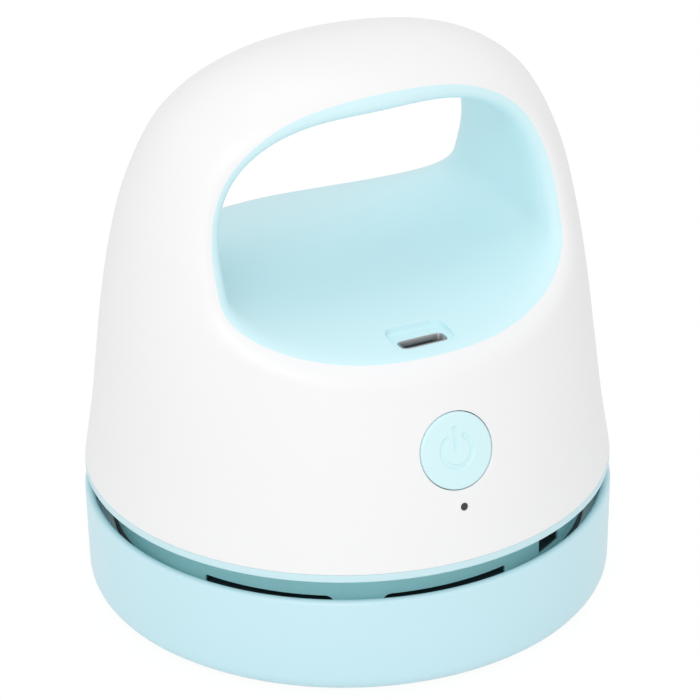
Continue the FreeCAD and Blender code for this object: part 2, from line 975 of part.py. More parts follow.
def make_motor_can():
    nose_low = motor_low - motor_nose_height
    bore = bearing_radius + shaft_gap
    return turned([
        (bore, nose_low, 0),
        (motor_nose_radius, nose_low, 0),
        (motor_nose_radius, motor_low, 0),
        (motor_radius, motor_low, motor_round),
        (motor_radius, motor_high, 0),
        (motor_radius - motor_wall, motor_high, 0),
        (motor_radius - motor_wall, motor_low + motor_wall, 0),
        (bore, motor_low + motor_wall, 0),
    ])


def motor_middle():
    return (motor_low + motor_high) / 2


def make_motor_magnets():
    outer = motor_radius - motor_wall - fit_gap
    low = motor_middle() - magnet_height / 2
    return grouped([
        sector(outer, outer - magnet_thickness, low, low + magnet_height, magnet_angle, middle)
        for middle in (0, full_turn / 2)
    ])


def make_motor_armature():
    low = motor_middle() - armature_height / 2
    high = low + armature_height
    core = disc(armature_radius, low, high)
    half_depth = armature_slot_depth / 2
    half_width = armature_slot_width / 2
    slot = block(armature_core_radius, armature_radius - half_width, -half_depth, half_depth,
                 low - overrun, high + overrun)
    gate = block(armature_core_radius, armature_radius + overrun, -half_width, half_width,
                 low - overrun, high + overrun)
    for cutter in repeated(slot.fuse(gate), armature_slots):
        core = core.cut(cutter)
    return core.cut(disc(shaft_radius + shaft_gap / 2, low - overrun, high + overrun))


def make_motor_bearings():
    nose_low = motor_low - motor_nose_height
    cap_seat = motor_high + motor_wall / 2
    bore = shaft_radius + shaft_gap
    return grouped([
        ring(bearing_radius, bore, nose_low, nose_low + bearing_height),
        ring(bearing_radius, bore, cap_seat - bearing_height, cap_seat),
    ])


def make_motor_end_cap():
    top = motor_high + cap_height
    inner = motor_radius - motor_wall - fit_gap
    bore = bearing_radius + shaft_gap
    body = turned([
        (bore, motor_high - bearing_height, 0),
        (bore + cap_inset, motor_high - bearing_height, 0),
        (bore + cap_inset, motor_high - cap_inset, 0),
        (inner, motor_high - cap_inset, 0),
        (inner, motor_high + fit_gap, 0),
        (motor_radius - cap_inset, motor_high + fit_gap, 0),
        (motor_radius - cap_inset, top, cap_inset),
        (0, top, 0),
        (0, top - cap_inset, 0),
        (bore, top - cap_inset, 0),
    ])
    for side in (-1, 1):
        body = body.cut(motor_terminal(side, fit_gap))
    return body


def motor_terminal(side, grow=0):
    half = terminal_width / 2 + grow
    thick = terminal_thickness / 2 + grow
    x = side * terminal_spread
    low = motor_high + cap_inset - grow
    return block(x - thick, x + thick, -half, half, low, low + terminal_height + grow)


def make_motor_terminals():
    return grouped([motor_terminal(side) for side in (-1, 1)])


def bracket_screw_angles():
    return (0, full_turn / 2)


def make_motor_bracket():
    base = lip_top + fit_gap
    top = base + bracket_plate
    bore = motor_radius + fit_gap
    body = turned([
        (motor_nose_radius + fit_gap, base, 0),
        (bracket_radius, base, 0),
        (bracket_radius, top, 0),
        (bore + bracket_collar_wall, top, 0),
        (bore + bracket_collar_wall, top + bracket_collar, 0),
        (bore, top + bracket_collar, 0),
        (bore, top, 0),
        (motor_nose_radius + fit_gap, top, 0),
    ])
    for angle in bracket_screw_angles():
        body = body.cut(spun(disc(screw_radius, base - overrun, top + overrun, bracket_screw_circle), angle))
    return body


def make_motor_screws():
    low = lip_low - fit_gap - screw_head_height / 2
    length = lip_height + bracket_plate + fit_gap
    one = screw(bracket_screw_circle, 0, low, screw_head_radius, screw_head_height / 2,
                screw_radius - shaft_gap, length)
    return grouped([spun(one, angle) for angle in bracket_screw_angles()])


# Battery


def lying(radius, half_length, start=None):
    """Round bar along X at the battery's place."""
    first = -half_length if start is None else start
    origin = Vector(first, cell_offset, cell_height)
    return Part.makeCylinder(radius, half_length - first, origin, Vector(1, 0, 0))


def make_battery_cell():
    cell = lying(cell_radius, cell_length / 2)
    ends = [edge for edge in cell.Edges if edge.BoundBox.XLength < fit_gap]
    return cell.makeFillet(cell_round, ends)


def make_battery_tabs():
    start = cell_length / 2 + fit_gap
    right = lying(tab_radius, start + tab_thickness, start)
    return grouped([right, right.mirror(Vector(0, 0, 0), Vector(1, 0, 0))])


def make_battery_cradle():
    outer = cell_radius + fit_gap + cradle_wall
    half = cell_length / 2 - cradle_inset
    hug = cell_height + cell_radius * cradle_hug_share
    base = lip_top + fit_gap
    jacket = lying(outer, half)
    lower = block(-half, half, cell_offset - outer, cell_offset + outer, cell_height - outer, hug)
    trough = jacket.common(lower)
    stand = block(-half, half, cell_offset - cradle_foot, cell_offset + cradle_foot,
                  base, cell_height - outer + cradle_wall)
    back = cell_offset + cradle_foot_run
    plate = block(-half, half, cell_offset - cradle_foot, back, base, base + cradle_foot)
    body = joined([trough, stand, plate])
    return body.cut(lying(cell_radius + fit_gap, half + overrun))


# Base: cup, brush, feet and filter


def make_dust_cup():
    body = turned([
        (foot_inner_radius, cup_lift, 0),
        (cup_foot_radius, cup_lift, cup_foot_round),
        (cup_top_radius, cup_height, cup_rim_round),
        (cup_inner_radius, cup_height, cup_rim_round),
        (cup_inner_radius, floor_top, 0),
        (ledge_radius, floor_top, 0),
        (ledge_radius, cup_floor_height, 0),
        (foot_inner_radius, cup_floor_height, 0),
    ])
    half = rib_width / 2
    rib = block(cup_inner_radius - rib_depth, cup_inner_radius + cup_wall / 2, -half, half,
                floor_top + fit_gap, filter_low - fit_gap)
    return joined([body] + repeated(rib, rib_count, full_turn / rib_count / 2))


def make_floor_plate():
    """Flat ring that lies on the cup's ledge and carries the inlet dome."""
    return ring(ledge_radius - fit_gap, dome_radius + fit_gap, cup_floor_height + fit_gap, floor_top)


def make_inlet_dome():
    """Raised middle of the floor with the suction inlet; its brim rests on the floor plate."""
    dome_inner = dome_radius - cup_floor
    brim_low = floor_top + fit_gap
    return turned([
        (inlet_radius, dome_height, 0),
        (dome_inner, dome_height, 0),
        (dome_inner, cup_floor_height, 0),
        (dome_radius, cup_floor_height, 0),
        (dome_radius, brim_low, 0),
        (dome_radius + dome_brim, brim_low, 0),
        (dome_radius + dome_brim, brim_low + dome_brim_height, 0),
        (dome_radius, brim_low + dome_brim_height, 0),
        (dome_radius, dome_top, 0),
        (inlet_radius + inlet_lip, dome_top, 0),
        (inlet_radius + inlet_lip, dome_top + inlet_lip, 0),
        (inlet_radius, dome_top + inlet_lip, 0),
    ])


def tuft_rows():
    """Radius of each ring of tufts, and how many it has."""
    width = brush_outer_radius - brush_inner_radius
    radii = [brush_inner_radius + width * share for share in tuft_circle_shares]
    return list(zip(radii, tuft_counts))


def make_brush_holder():
    top = dome_height - fit_gap
    holder = ring(brush_outer_radius, brush_inner_radius, top - brush_plate, top)
    for radius, count in tuft_rows():
        socket = disc(tuft_radius, top - brush_plate - overrun, top - brush_plate / 2, radius)
        for cutter in repeated(socket, count):
            holder = holder.cut(cutter)
    return holder


def make_brush_tufts():
    tip = tuft_radius * tuft_tip_share
    top = dome_height - fit_gap - brush_plate / 2
    tufts = []
    for radius, count in tuft_rows():
        length = top - tuft_end_height
        tuft = Part.makeCone(tip, tuft_radius - shaft_gap, length, Vector(radius, 0, tuft_end_height))
        tufts += repeated(tuft, count)
    return grouped(tufts)


def make_glide_feet():
    foot = turned([
        (0, 0, 0),
        (foot_radius, 0, foot_round),
        (foot_radius, cup_floor_height - fit_gap, 0),
        (0, cup_floor_height - fit_gap, 0),
    ])
    foot.translate(Vector(foot_circle, 0, 0))
    return grouped(repeated(foot, foot_count, full_turn / foot_count / 2))


def make_filter_frame():
    outer = cup_inner_radius - slide_gap
    shelf = filter_low + filter_shelf
    groove_middle = (outer + filter_inner_radius) / 2
    body = turned([
        (filter_inner_radius - filter_shelf, filter_low, 0),
        (outer, filter_low, 0),
        (outer, filter_high, 0),
        (groove_middle + seal_width / 2 + fit_gap, filter_high, 0),
        (groove_middle + seal_width / 2 + fit_gap, filter_high - seal_groove, 0),
        (groove_middle - seal_width / 2 - fit_gap, filter_high - seal_groove, 0),
        (groove_middle - seal_width / 2 - fit_gap, filter_high, 0),
        (filter_inner_radius, filter_high, 0),
        (filter_inner_radius, shelf, 0),
        (filter_inner_radius - filter_shelf, shelf, 0),
    ])
    hub = disc(filter_hub_radius, filter_low, shelf)
    half = filter_spoke_width / 2
    spoke = block(0, filter_inner_radius, -half, half, filter_low, shelf)
    return joined([body, hub] + repeated(spoke, filter_spoke_count))


def make_filter_mesh():
    low = filter_low + filter_shelf + fit_gap
    return disc(filter_inner_radius - fit_gap, low, low + mesh_thickness)


def make_filter_pad():
    low = filter_low + filter_shelf + mesh_thickness + fit_gap * 2
    return disc(filter_inner_radius - fit_gap, low, low + pad_thickness)


def make_cup_seal():
    middle = (cup_inner_radius - slide_gap + filter_inner_radius) / 2
    low = filter_high - seal_groove + fit_gap
    half = seal_width / 2
    return turned([
        (middle - half, low, 0),
        (middle + half, low, 0),
        (middle + half, seal_top, half / 2),
        (middle - half, seal_top, half / 2),
    ])


def save(name, shape):
    shape.exportStep(os.path.join("parts", name + ".step"))
    print(name, len(shape.Solids), "solids", shape.isValid(), round(shape.Volume, 1))


os.makedirs("parts", exist_ok=True)

hole = hand_hole()
save("upper_casing", make_upper_casing(casing_form(), casing_form(casing_wall, overrun), hole))
save("handle_liner", make_handle_liner(casing_form(casing_wall + fit_gap), hole))
save("charging_socket", make_charging_socket())
save("socket_tongue", make_socket_tongue())
save("charging_board", make_charging_board())
save("charging_board_screws", make_charging_board_screws())
save("power_button", make_power_button())
save("switch_plunger", make_switch_plunger())
save("tact_switch", make_tact_switch())
save("control_board", make_control_board())
save("board_chips", make_board_chips())
save("board_screws", make_board_screws())
save("charge_lamp", make_charge_lamp())
save("light_pipe", make_light_pipe())
save("exhaust_collar", make_exhaust_collar())
save("casing_screws", make_casing_screws())
save("intake_plate", make_intake_plate())
save("fan_wheel", make_fan_wheel())
save("motor_shaft", make_motor_shaft())
save("motor_armature", make_motor_armature())
save("motor_can", make_motor_can())
save("motor_magnets", make_motor_magnets())
save("motor_bearings", make_motor_bearings())
save("motor_end_cap", make_motor_end_cap())
save("motor_terminals", make_motor_terminals())
save("motor_bracket", make_motor_bracket())
save("motor_screws", make_motor_screws())
save("battery_cell", make_battery_cell())
save("battery_tabs", make_battery_tabs())
save("battery_cradle", make_battery_cradle())
save("dust_cup", make_dust_cup())
save("floor_plate", make_floor_plate())
save("inlet_dome", make_inlet_dome())
save("brush_holder", make_brush_holder())
save("brush_tufts", make_brush_tufts())
save("glide_feet", make_glide_feet())
save("filter_frame", make_filter_frame())
save("filter_mesh", make_filter_mesh())
save("filter_pad", make_filter_pad())
save("cup_seal", make_cup_seal())
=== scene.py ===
# %% [markdown]
# A desktop mini vacuum cleaner: a white domed casing with a hand hole, a pale blue liner in that hole,
# a push button, a charging port, a windowed exhaust collar and a dust cup that stands on the desk.
# The exact solids come from the CAD frame, which holds every piece in its place. What the eye sees
# first is made again here as smooth surfaces, worked out as whole arrays.

# %% Load the frame
import json
import math

import bmesh
import bpy
import numpy as np
from mathutils import Matrix, Vector


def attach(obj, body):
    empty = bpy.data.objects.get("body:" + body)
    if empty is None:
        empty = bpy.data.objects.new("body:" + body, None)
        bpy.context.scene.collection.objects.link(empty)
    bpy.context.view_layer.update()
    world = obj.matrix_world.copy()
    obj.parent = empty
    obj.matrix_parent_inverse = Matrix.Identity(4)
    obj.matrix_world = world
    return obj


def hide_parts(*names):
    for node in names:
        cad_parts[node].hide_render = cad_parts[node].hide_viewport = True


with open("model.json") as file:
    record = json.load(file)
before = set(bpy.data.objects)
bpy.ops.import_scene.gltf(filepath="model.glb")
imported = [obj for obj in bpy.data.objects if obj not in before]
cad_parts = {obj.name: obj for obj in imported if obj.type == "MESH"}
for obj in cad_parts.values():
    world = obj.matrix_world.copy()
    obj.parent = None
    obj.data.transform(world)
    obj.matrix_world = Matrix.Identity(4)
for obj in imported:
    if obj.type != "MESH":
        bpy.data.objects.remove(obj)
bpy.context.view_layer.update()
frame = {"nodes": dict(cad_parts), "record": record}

mm = 0.001

# %% [markdown]
# The casing is a stack of ellipses, from the seam over the collar up to the crown. Eleven ellipses are
# enough when a smooth curve joins them. A cubic Hermite curve passes through each listed size with the
# slope of its two neighbours, and the heights are stretched near the top so that the crown closes round
# instead of in a point.

# %% Outer form
crown_height = 91.1
seam_height = 21.6
seam_radius = 41.2
casing_wall = 1.8
casing_low = 21.35
casing_rise = crown_height - seam_height
form_shares = np.array([
    (0.0, 1.0, 1.0),
    (0.121, 0.971, 0.959),
    (0.265, 0.953, 0.891),
    (0.409, 0.938, 0.803),
    (0.552, 0.910, 0.711),
    (0.696, 0.859, 0.614),
    (0.840, 0.750, 0.498),
    (0.898, 0.662, 0.420),
    (0.941, 0.555, 0.330),
    (0.970, 0.441, 0.240),
    (0.988, 0.313, 0.150),
])


def crown_place(height):
    """Place of a height on the scale 1 - sqrt(1 - t), where t is its share of the casing's rise."""
    share = (height - seam_height) / casing_rise
    return 1 - np.sqrt(np.clip(1 - share, 0, 1))


def between(value, places, sizes):
    """Cubic Hermite curve through (places, sizes); the slope at a point is that of its two neighbours."""
    low = np.maximum(np.arange(len(places)) - 1, 0)
    high = np.minimum(np.arange(len(places)) + 1, len(places) - 1)
    slopes = (sizes[high] - sizes[low]) / (places[high] - places[low])
    i = np.clip(np.searchsorted(places, value, side="right") - 1, 0, len(places) - 2)
    step = places[i + 1] - places[i]
    part = np.clip((value - places[i]) / step, 0, 1)
    rest = 1 - part
    held = sizes[i] * (1 + 2 * part) * rest ** 2 + sizes[i + 1] * (1 + 2 * rest) * part ** 2
    return held + step * (slopes[i] * part * rest ** 2 - slopes[i + 1] * part ** 2 * rest)


def form_sizes():
    """Half width and half depth of the casing as functions of height."""
    places = np.append(crown_place(seam_height + casing_rise * form_shares[:, 0]), 1.0)
    curves = [np.append(seam_radius * shares, 0.0) for shares in (form_shares[:, 1], form_shares[:, 2])]
    return [lambda height, sizes=sizes: between(crown_place(height), places, sizes) for sizes in curves]


outside = form_sizes()


def skin_depth(x, height):
    """Distance of the skin from the XZ plane, by the ellipse (x / a)^2 + (y / b)^2 = 1 at that height."""
    half_width = np.maximum(outside[0](height), 1e-6)
    return outside[1](height) * np.sqrt(np.clip(1 - (x / half_width) ** 2, 0, 1))


print("half width and depth at the seam", outside[0](seam_height), outside[1](seam_height))

# %% [markdown]
# The hand hole is a rounded opening with a nearly flat floor. A superellipse, |x/w|^n + |z/h|^n = 1,
# gives that outline with one power for the top half and one for the floor half. The floor also sinks
# towards the front and back. Where the hole meets the skin both roll into each other, as a fingertip
# feels it on the real handle. Along the roll the reach follows a quadratic Bezier curve, and the distance
# below the skin fades out as (1 - t)^2, so the roll is smooth where it leaves the wall and on the skin.
# It ends short of the outline seen from the front, so the crown above it stays round. White and blue
# meet on the roll, nearer to the skin at the top than at the sides.

# %% Hand hole and its rolled rim
hole_middle = 61.2
hole_half_width = 26.5
hole_top = 83.2
hole_floor = 53.8
hole_floor_sag = 1.9
hole_floor_run = 27.0
hole_power_above = 2.89
hole_power_below = 2.8
rim_roll = 4.73
rim_reach_share = 0.62
rim_outline_share = 0.8
line_below_side = 1.87
line_below_top = 0.62
small_step = 0.05


def floor_height(y):
    return hole_floor - hole_floor_sag * (y / hole_floor_run) ** 2


def hole_reach(turn, depth):
    """Distance from the hole's middle to its wall, turn about the middle, at a depth from the XZ plane."""
    across = np.abs(np.cos(turn)) / hole_half_width
    above = np.sin(turn) >= 0
    half_height = np.where(above, hole_top - hole_middle, hole_middle - floor_height(depth))
    power = np.where(above, hole_power_above, hole_power_below)
    return (across ** power + (np.abs(np.sin(turn)) / half_height) ** power) ** (-1 / power)


def depth_at(reach, turn):
    return skin_depth(reach * np.cos(turn), hole_middle + reach * np.sin(turn))


def outline_reach(turn, near):
    """Reach of the outline seen from the front, from near outwards: the widest line, or the seam."""
    far = np.full_like(turn, 80.0)
    for _ in range(60):
        reach = (near + far) / 2
        height = hole_middle + reach * np.sin(turn)
        held = (height > casing_low) & (np.abs(reach * np.cos(turn)) < outside[0](height))
        near, far = np.where(held, reach, near), np.where(held, far, reach)
    return near


def rim_curve(turn):
    """Reach at the roll's start, middle and end, and how far its start lies below the skin, for each turn."""
    depth = np.full_like(turn, hole_floor_run)
    for _ in range(40):
        depth = depth_at(hole_reach(turn, depth), turn)
    corner = hole_reach(turn, depth)
    slope = (depth_at(corner + small_step, turn) - depth) / small_step
    length = np.hypot(1, slope)
    wedge = np.arccos(-slope / length)
    setback = np.minimum(rim_roll / np.tan(wedge / 2), rim_reach_share * depth)
    inner = depth - setback
    start = hole_reach(turn, inner)
    room = rim_outline_share * (outline_reach(turn, corner) - corner)
    return start, corner, corner + np.minimum(setback / length, room), depth_at(start, turn) - inner


def on_roll(rim, turn, level):
    """Point of the roll as (reach, depth): level 0 leaves the wall and level 1 runs into the skin."""
    start, corner, end, below = rim
    reach = (1 - level) ** 2 * start + 2 * level * (1 - level) * corner + level ** 2 * end
    return reach, depth_at(reach, turn) - (1 - level) ** 2 * below


def casing_turns():
    """Turns about the hole's middle: even in azimuth along the seam, then even along the hole's wall."""
    drop = casing_low - hole_middle
    azimuth = np.pi * (1 + np.arange(seam_count) / seam_count)
    lower = np.arctan2(drop, seam_radius * np.cos(azimuth))
    fine = np.linspace(np.arctan2(drop, seam_radius), lower[0] + 2 * np.pi, 4001)
    reach = hole_reach(fine, 0 * fine)
    x, z = reach * np.cos(fine), reach * np.sin(fine)
    run = np.append(0, np.cumsum(np.hypot(np.diff(x), np.diff(z))))
    return np.append(lower, np.interp(np.arange(wall_count) / wall_count * run[-1], run, fine))


seam_count = 144
wall_count = 232
turn_count = seam_count + wall_count
middle_column = seam_count // 2
turns = casing_turns()
rim = rim_curve(turns)
upward = np.clip(np.sin(turns), 0, 1) ** 2
line_below = line_below_side + (line_below_top - line_below_side) * upward
line_level = 1 - np.sqrt(line_below / rim[3])
print("roll ends at reach", rim[2][::90].round(1), "colour line at level", line_level[::90].round(2))

# %% [markdown]
# Surfaces become meshes here. A grid of points makes a quad sheet, and several sheets that share an edge
# are welded into one. Blender can tell inside from outside on a closed shell, and for an open one a
# point with a known outward direction settles it. A wall is given its thickness before the piece is finished.

# %% Mesh helpers


def grid_quads(rows, columns, wrap=True, start=0):
    """Quads of a grid of points numbered row by row; wrap joins the last column to the first."""
    j = np.arange(rows - 1)[:, None]
    i = np.arange(columns if wrap else columns - 1)[None, :]
    k = (i + 1) % columns
    corners = [j * columns + i, j * columns + k, (j + 1) * columns + k, (j + 1) * columns + i]
    return np.stack([np.broadcast_to(c, (rows - 1, i.shape[1])).ravel() for c in corners], -1) + start


def add_mesh(name, points, quads):
    """New object from points in millimetres and quads, its place in its mesh."""
    mesh = bpy.data.meshes.new(name)
    mesh.vertices.add(len(points))
    mesh.vertices.foreach_set("co", (np.asarray(points, float) * mm).ravel())
    mesh.loops.add(quads.size)
    mesh.loops.foreach_set("vertex_index", quads.ravel())
    mesh.polygons.add(len(quads))
    mesh.polygons.foreach_set("loop_start", np.arange(len(quads)) * quads.shape[1])
    mesh.update(calc_edges=True)
    piece = bpy.data.objects.new(name, mesh)
    bpy.context.scene.collection.objects.link(piece)
    return piece


def weld(piece, probe=None, outward=None, reach=1e-5):
    """Merges doubles and turns faces outwards; probe and outward name that side on an open sheet."""
    work = bmesh.new()
    work.from_mesh(piece.data)
    bmesh.ops.remove_doubles(work, verts=work.verts, dist=reach)
    bmesh.ops.dissolve_degenerate(work, edges=work.edges, dist=reach / 10)
    bmesh.ops.recalc_face_normals(work, faces=work.faces)
    if probe is not None:
        spot = Vector(probe) * mm
        nearest = min(work.faces, key=lambda face: (face.calc_center_median() - spot).length)
        if nearest.normal.dot(Vector(outward)) < 0:
            bmesh.ops.reverse_faces(work, faces=work.faces)
    work.to_mesh(piece.data)
    work.free()


def finish_mesh(piece, crease=32.0):
    """Applies the modifiers and shades smooth; edges stay where faces meet at over crease degrees."""
    depsgraph = bpy.context.evaluated_depsgraph_get()
    baked = bpy.data.meshes.new_from_object(piece.evaluated_get(depsgraph))
    baked.name = piece.name
    piece.modifiers.clear()
    piece.data = baked
    baked.shade_smooth()
    baked.set_sharp_from_angle(angle=math.radians(crease))
    baked.update()
    print(piece.name, len(baked.polygons), "faces")


def thicken(piece, wall):
    """Gives an open sheet a wall on its inner side."""
    shell = piece.modifiers.new("wall", "SOLIDIFY")
    shell.thickness = wall * mm
    shell.offset = -1
    shell.use_even_offset = False


def installed(piece, body, slot, *nodes):
    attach(piece, body)
    if nodes:
        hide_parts(*nodes)


# %% [markdown]
# A round hole in a curved skin needs a ring of faces of its own, or the grid's square steps would show
# at its edge. A rectangle of the grid is left out, and its border is joined to the hole's circle by
# rings that change from the one shape to the other. Every ring's points lie on the same skin.

# %% Rings that carry a hole through a grid


def border_loop(rows, columns):
    """Grid places along the border of a rectangle of rows and columns, in one closed round."""
    top, bottom, left, right = rows[0], rows[-1], columns[0], columns[-1]
    loop = [(top, i) for i in columns[:-1]] + [(j, right) for j in rows[:-1]]
    loop += [(bottom, i) for i in columns[:0:-1]] + [(j, left) for j in rows[:0:-1]]
    return np.array(loop)


def morph_rings(border, target, rings):
    """Rings from a border to a target of as many points, in equal steps: border * (1 - s) + target * s."""
    share = np.linspace(0, 1, rings + 1)[1:, None, None]
    return border[None] * (1 - share) + target[None] * share


def aim(border, middle):
    """Angle of each border point as seen from the middle of the hole."""
    return np.arctan2(border[:, 1] - middle[1], border[:, 0] - middle[0])


# %% [markdown]
# The button sits square to the sloping front, so its bore is a cylinder that leans back. Where the bore
# meets the skin is found by sliding each point of its circle along the button's axis, a few corrections
# at a time, until it lies on the skin.

# %% Button axis
button_depth = 37.31
button_height = 38.1
button_lean = math.radians(17.08)
button_radius = 5.95
bore_gap = 0.12
lamp_drop = 8.75
lamp_hole_radius = 0.62
button_origin = np.array([0.0, -button_depth, button_height])
button_up = np.array([0.0, math.sin(button_lean), math.cos(button_lean)])
button_out = np.array([0.0, -math.cos(button_lean), math.sin(button_lean)])
button_across = np.array([1.0, 0.0, 0.0])


def at_button(across, above, out):
    """Point at a place across and above the button's middle, out along its axis."""
    across, above, out = np.broadcast_arrays(across, above, out)
    return (button_origin + across[..., None] * button_across
            + above[..., None] * button_up + out[..., None] * button_out)


def skin_at_button(across, above):
    """Distance out along the button's axis at which the skin lies."""
    out = np.zeros(np.broadcast(across, above).shape)
    for _ in range(12):
        point = at_button(across, above, out)
        out = out + (-skin_depth(point[..., 0], point[..., 2]) - point[..., 1]) / button_out[1]
    return out


print("skin over the button's middle, mm", skin_at_button(np.array(0.0), np.array(0.0)))

# %% [markdown]
# The white casing. On the real cleaner it is one moulding with a wall of about 2 mm, rolled round the
# hand hole and cut flat at the seam. Here each line of the grid starts in the joint with the liner,
# follows the roll and runs over the skin to the outline seen from the front, where the front half meets
# the back half. The steps get closer towards that outline, because the skin turns away there.

# %% White casing
roll_rows = 10
skin_rows = 52
# Rows of a bore's edge as (growth of its radius, depth under the skin).
bore_edge = ((0.10, 0.0), (0.03, 0.03), (0.0, 0.10), (0.0, 0.40))
button_patch_half_width = 9.0
button_patch_top = 46.6
button_rings = 12
lamp_patch_half_width = 1.7
lamp_patch_top = 30.9
lamp_patch_low = 27.9
lamp_rings = 8
casing_front_spot = (0, -40, 25)


def roll_band(last, rows):
    """Rows of (reach, depth) from the colour line along the roll to level last."""
    shares = np.linspace(0, 1, rows)[:, None]
    return on_roll(rim, turns, line_level + (last - line_level) * shares)


def placed(reach, depth, side):
    """Points in space from (reach, depth) rows; side is -1 at the front and 1 at the back."""
    return np.stack([reach * np.cos(turns), side * depth, hole_middle + reach * np.sin(turns)], -1)


def skin_rows_from(end, turn):
    """Rows over the skin from the roll's end to the outline, at shares 1 - (1 - q)^2 that close up there."""
    outer = outline_reach(turn, end)
    q = np.linspace(0, 1, skin_rows + 1)[1:, None]
    share = 1 - (1 - q) ** 2
    reach = end + (outer - end) * share
    depth = depth_at(reach, turn)
    on_outline = hole_middle + outer * np.sin(turn) > casing_low + small_step
    depth[-1] = np.where(on_outline, 0, depth[-1])
    return reach, depth


roll = roll_band(1.0, roll_rows)
skin = skin_rows_from(rim[2], turns)
casing_reach = np.vstack([roll[0], skin[0]])
casing_depth = np.vstack([roll[1], skin[1]])
casing_front = placed(casing_reach, casing_depth, -1)
casing_back = placed(casing_reach, casing_depth, 1)


def skin_hole(grid, centre_above, radius, half_width, low_height, high_height, rings):
    """Leaves a rectangle out of the front grid and fills it with rings down to a round bore."""
    heights = grid[:, middle_column, 2]
    rows = np.nonzero((heights < high_height) & (heights > low_height))[0]
    across = np.abs(grid[rows[len(rows) // 2], :seam_count, 0])
    columns = np.nonzero(across < half_width)[0]
    loop = border_loop(rows, columns)
    border = grid[loop[:, 0], loop[:, 1]][:, [0, 2]]
    out = skin_at_button(np.array(0.0), np.array(centre_above))
    centre = at_button(0.0, centre_above, out)[[0, 2]]
    angle = aim(border, centre)
    bore = []
    for grow, sink in bore_edge:
        across = (radius + grow) * np.cos(angle)
        above = centre_above + (radius + grow) * np.sin(angle)
        bore.append(at_button(across, above, skin_at_button(across, above) - sink))
    flat = morph_rings(border, bore[0][:, [0, 2]], rings)
    points = np.stack([flat[..., 0], -skin_depth(flat[..., 0], flat[..., 1]), flat[..., 1]], -1)
    points = np.concatenate([grid[loop[:, 0], loop[:, 1]][None], points, np.array(bore[1:])])
    left_out = np.zeros((grid.shape[0] - 1, turn_count), bool)
    left_out[np.ix_(rows[:-1], columns[:-1])] = True
    return points, left_out


def casing_mesh():
    button = skin_hole(casing_front, 0.0, button_radius + bore_gap, button_patch_half_width,
                       lamp_patch_top, button_patch_top, button_rings)
    lamp = skin_hole(casing_front, -lamp_drop, lamp_hole_radius, lamp_patch_half_width,
                     lamp_patch_low, lamp_patch_top, lamp_rings)
    rows = len(casing_front)
    kept = ~(button[1] | lamp[1]).ravel()
    points = [casing_front.reshape(-1, 3), casing_back.reshape(-1, 3)]
    quads = [grid_quads(rows, turn_count)[kept], grid_quads(rows, turn_count, start=len(points[0]))]
    start = 2 * len(points[0])
    for rings in (button[0], lamp[0]):
        quads.append(grid_quads(rings.shape[0], rings.shape[1], start=start))
        points.append(rings.reshape(-1, 3))
        start += len(points[-1])
    return np.vstack(points), np.vstack(quads)


casing = add_mesh("casing_shell", *casing_mesh())
weld(casing, casing_front_spot, (0, -1, 0))
thicken(casing, casing_wall)
finish_mesh(casing)
installed(casing, "upper", "casing_white", "upper_casing")

# %% [markdown]
# The liner is the pale blue tunnel through the casing, with the charging recess sunk in its floor. Its
# grid runs from the front colour line through the hole to the back one. The recess is a rounded
# rectangle with a level bottom, so it is deepest at its back edge and fades out towards the front.

# %% Blue liner
wall_rows = 72
liner_roll_rows = 12
socket_y = -26.0
recess_bottom = 51.45
recess_half_width = 4.85
recess_front = 2.3
recess_back = 4.0
recess_edge = 0.4
recess_round = 1.7
recess_margin = 1.9
recess_border = 0.12
recess_ring_count = 8
# Rows of the recess's wall as (growth of its outline, share of its depth), then shares across its bottom.
recess_wall = ((0.04, 0.12), (0.0, 0.35), (0.0, 0.8), (-0.04, 0.95), (-0.12, 1.0))
recess_bottom_shares = (0.3, 0.65, 0.95)
liner_wall = 1.1
slot_half_width = 3.85
slot_half_depth = 1.45
slot_round = 0.95
slot_depth = 2.0
slot_edge = 0.05


def rounded_box(angle, half_width, low, high, rounding):
    """A rounded rectangle's outline in each direction: the last point that a ray from the origin holds."""
    near, far = np.zeros_like(angle), np.full_like(angle, 2 * (half_width + high - low))
    middle, half_height = (low + high) / 2, (high - low) / 2
    for _ in range(50):
        reach = (near + far) / 2
        x = np.maximum(np.abs(reach * np.cos(angle)) - (half_width - rounding), 0)
        y = np.maximum(np.abs(reach * np.sin(angle) - middle) - (half_height - rounding), 0)
        held = np.hypot(x, y) < rounding
        near, far = np.where(held, reach, near), np.where(held, far, reach)
    return np.stack([near * np.cos(angle), near * np.sin(angle)], -1)


def on_patch(patch, x, y):
    """Height of a grid's surface over (x, y): along each of its rows at x, then between the rows at y."""
    depth = np.array([np.interp(x, row[:, 0], row[:, 1]) for row in patch])
    height = np.array([np.interp(x, row[:, 0], row[:, 2]) for row in patch])
    j = np.clip((depth < y).sum(0) - 1, 0, len(patch) - 2)
    i = np.arange(len(x))
    share = (y - depth[j, i]) / (depth[j + 1, i] - depth[j, i])
    return height[j, i] + share * (height[j + 1, i] - height[j, i])


def liner_grid():
    front = roll_band(0.0, liner_roll_rows)
    share = np.linspace(1, -1, wall_rows)[1:-1, None]
    depth = share * front[1][-1]
    reach = np.vstack([front[0], hole_reach(turns, depth), front[0][::-1]])
    depth = np.vstack([-front[1], -depth, front[1][::-1]])
    return np.stack([reach * np.cos(turns), depth, hole_middle + reach * np.sin(turns)], -1)


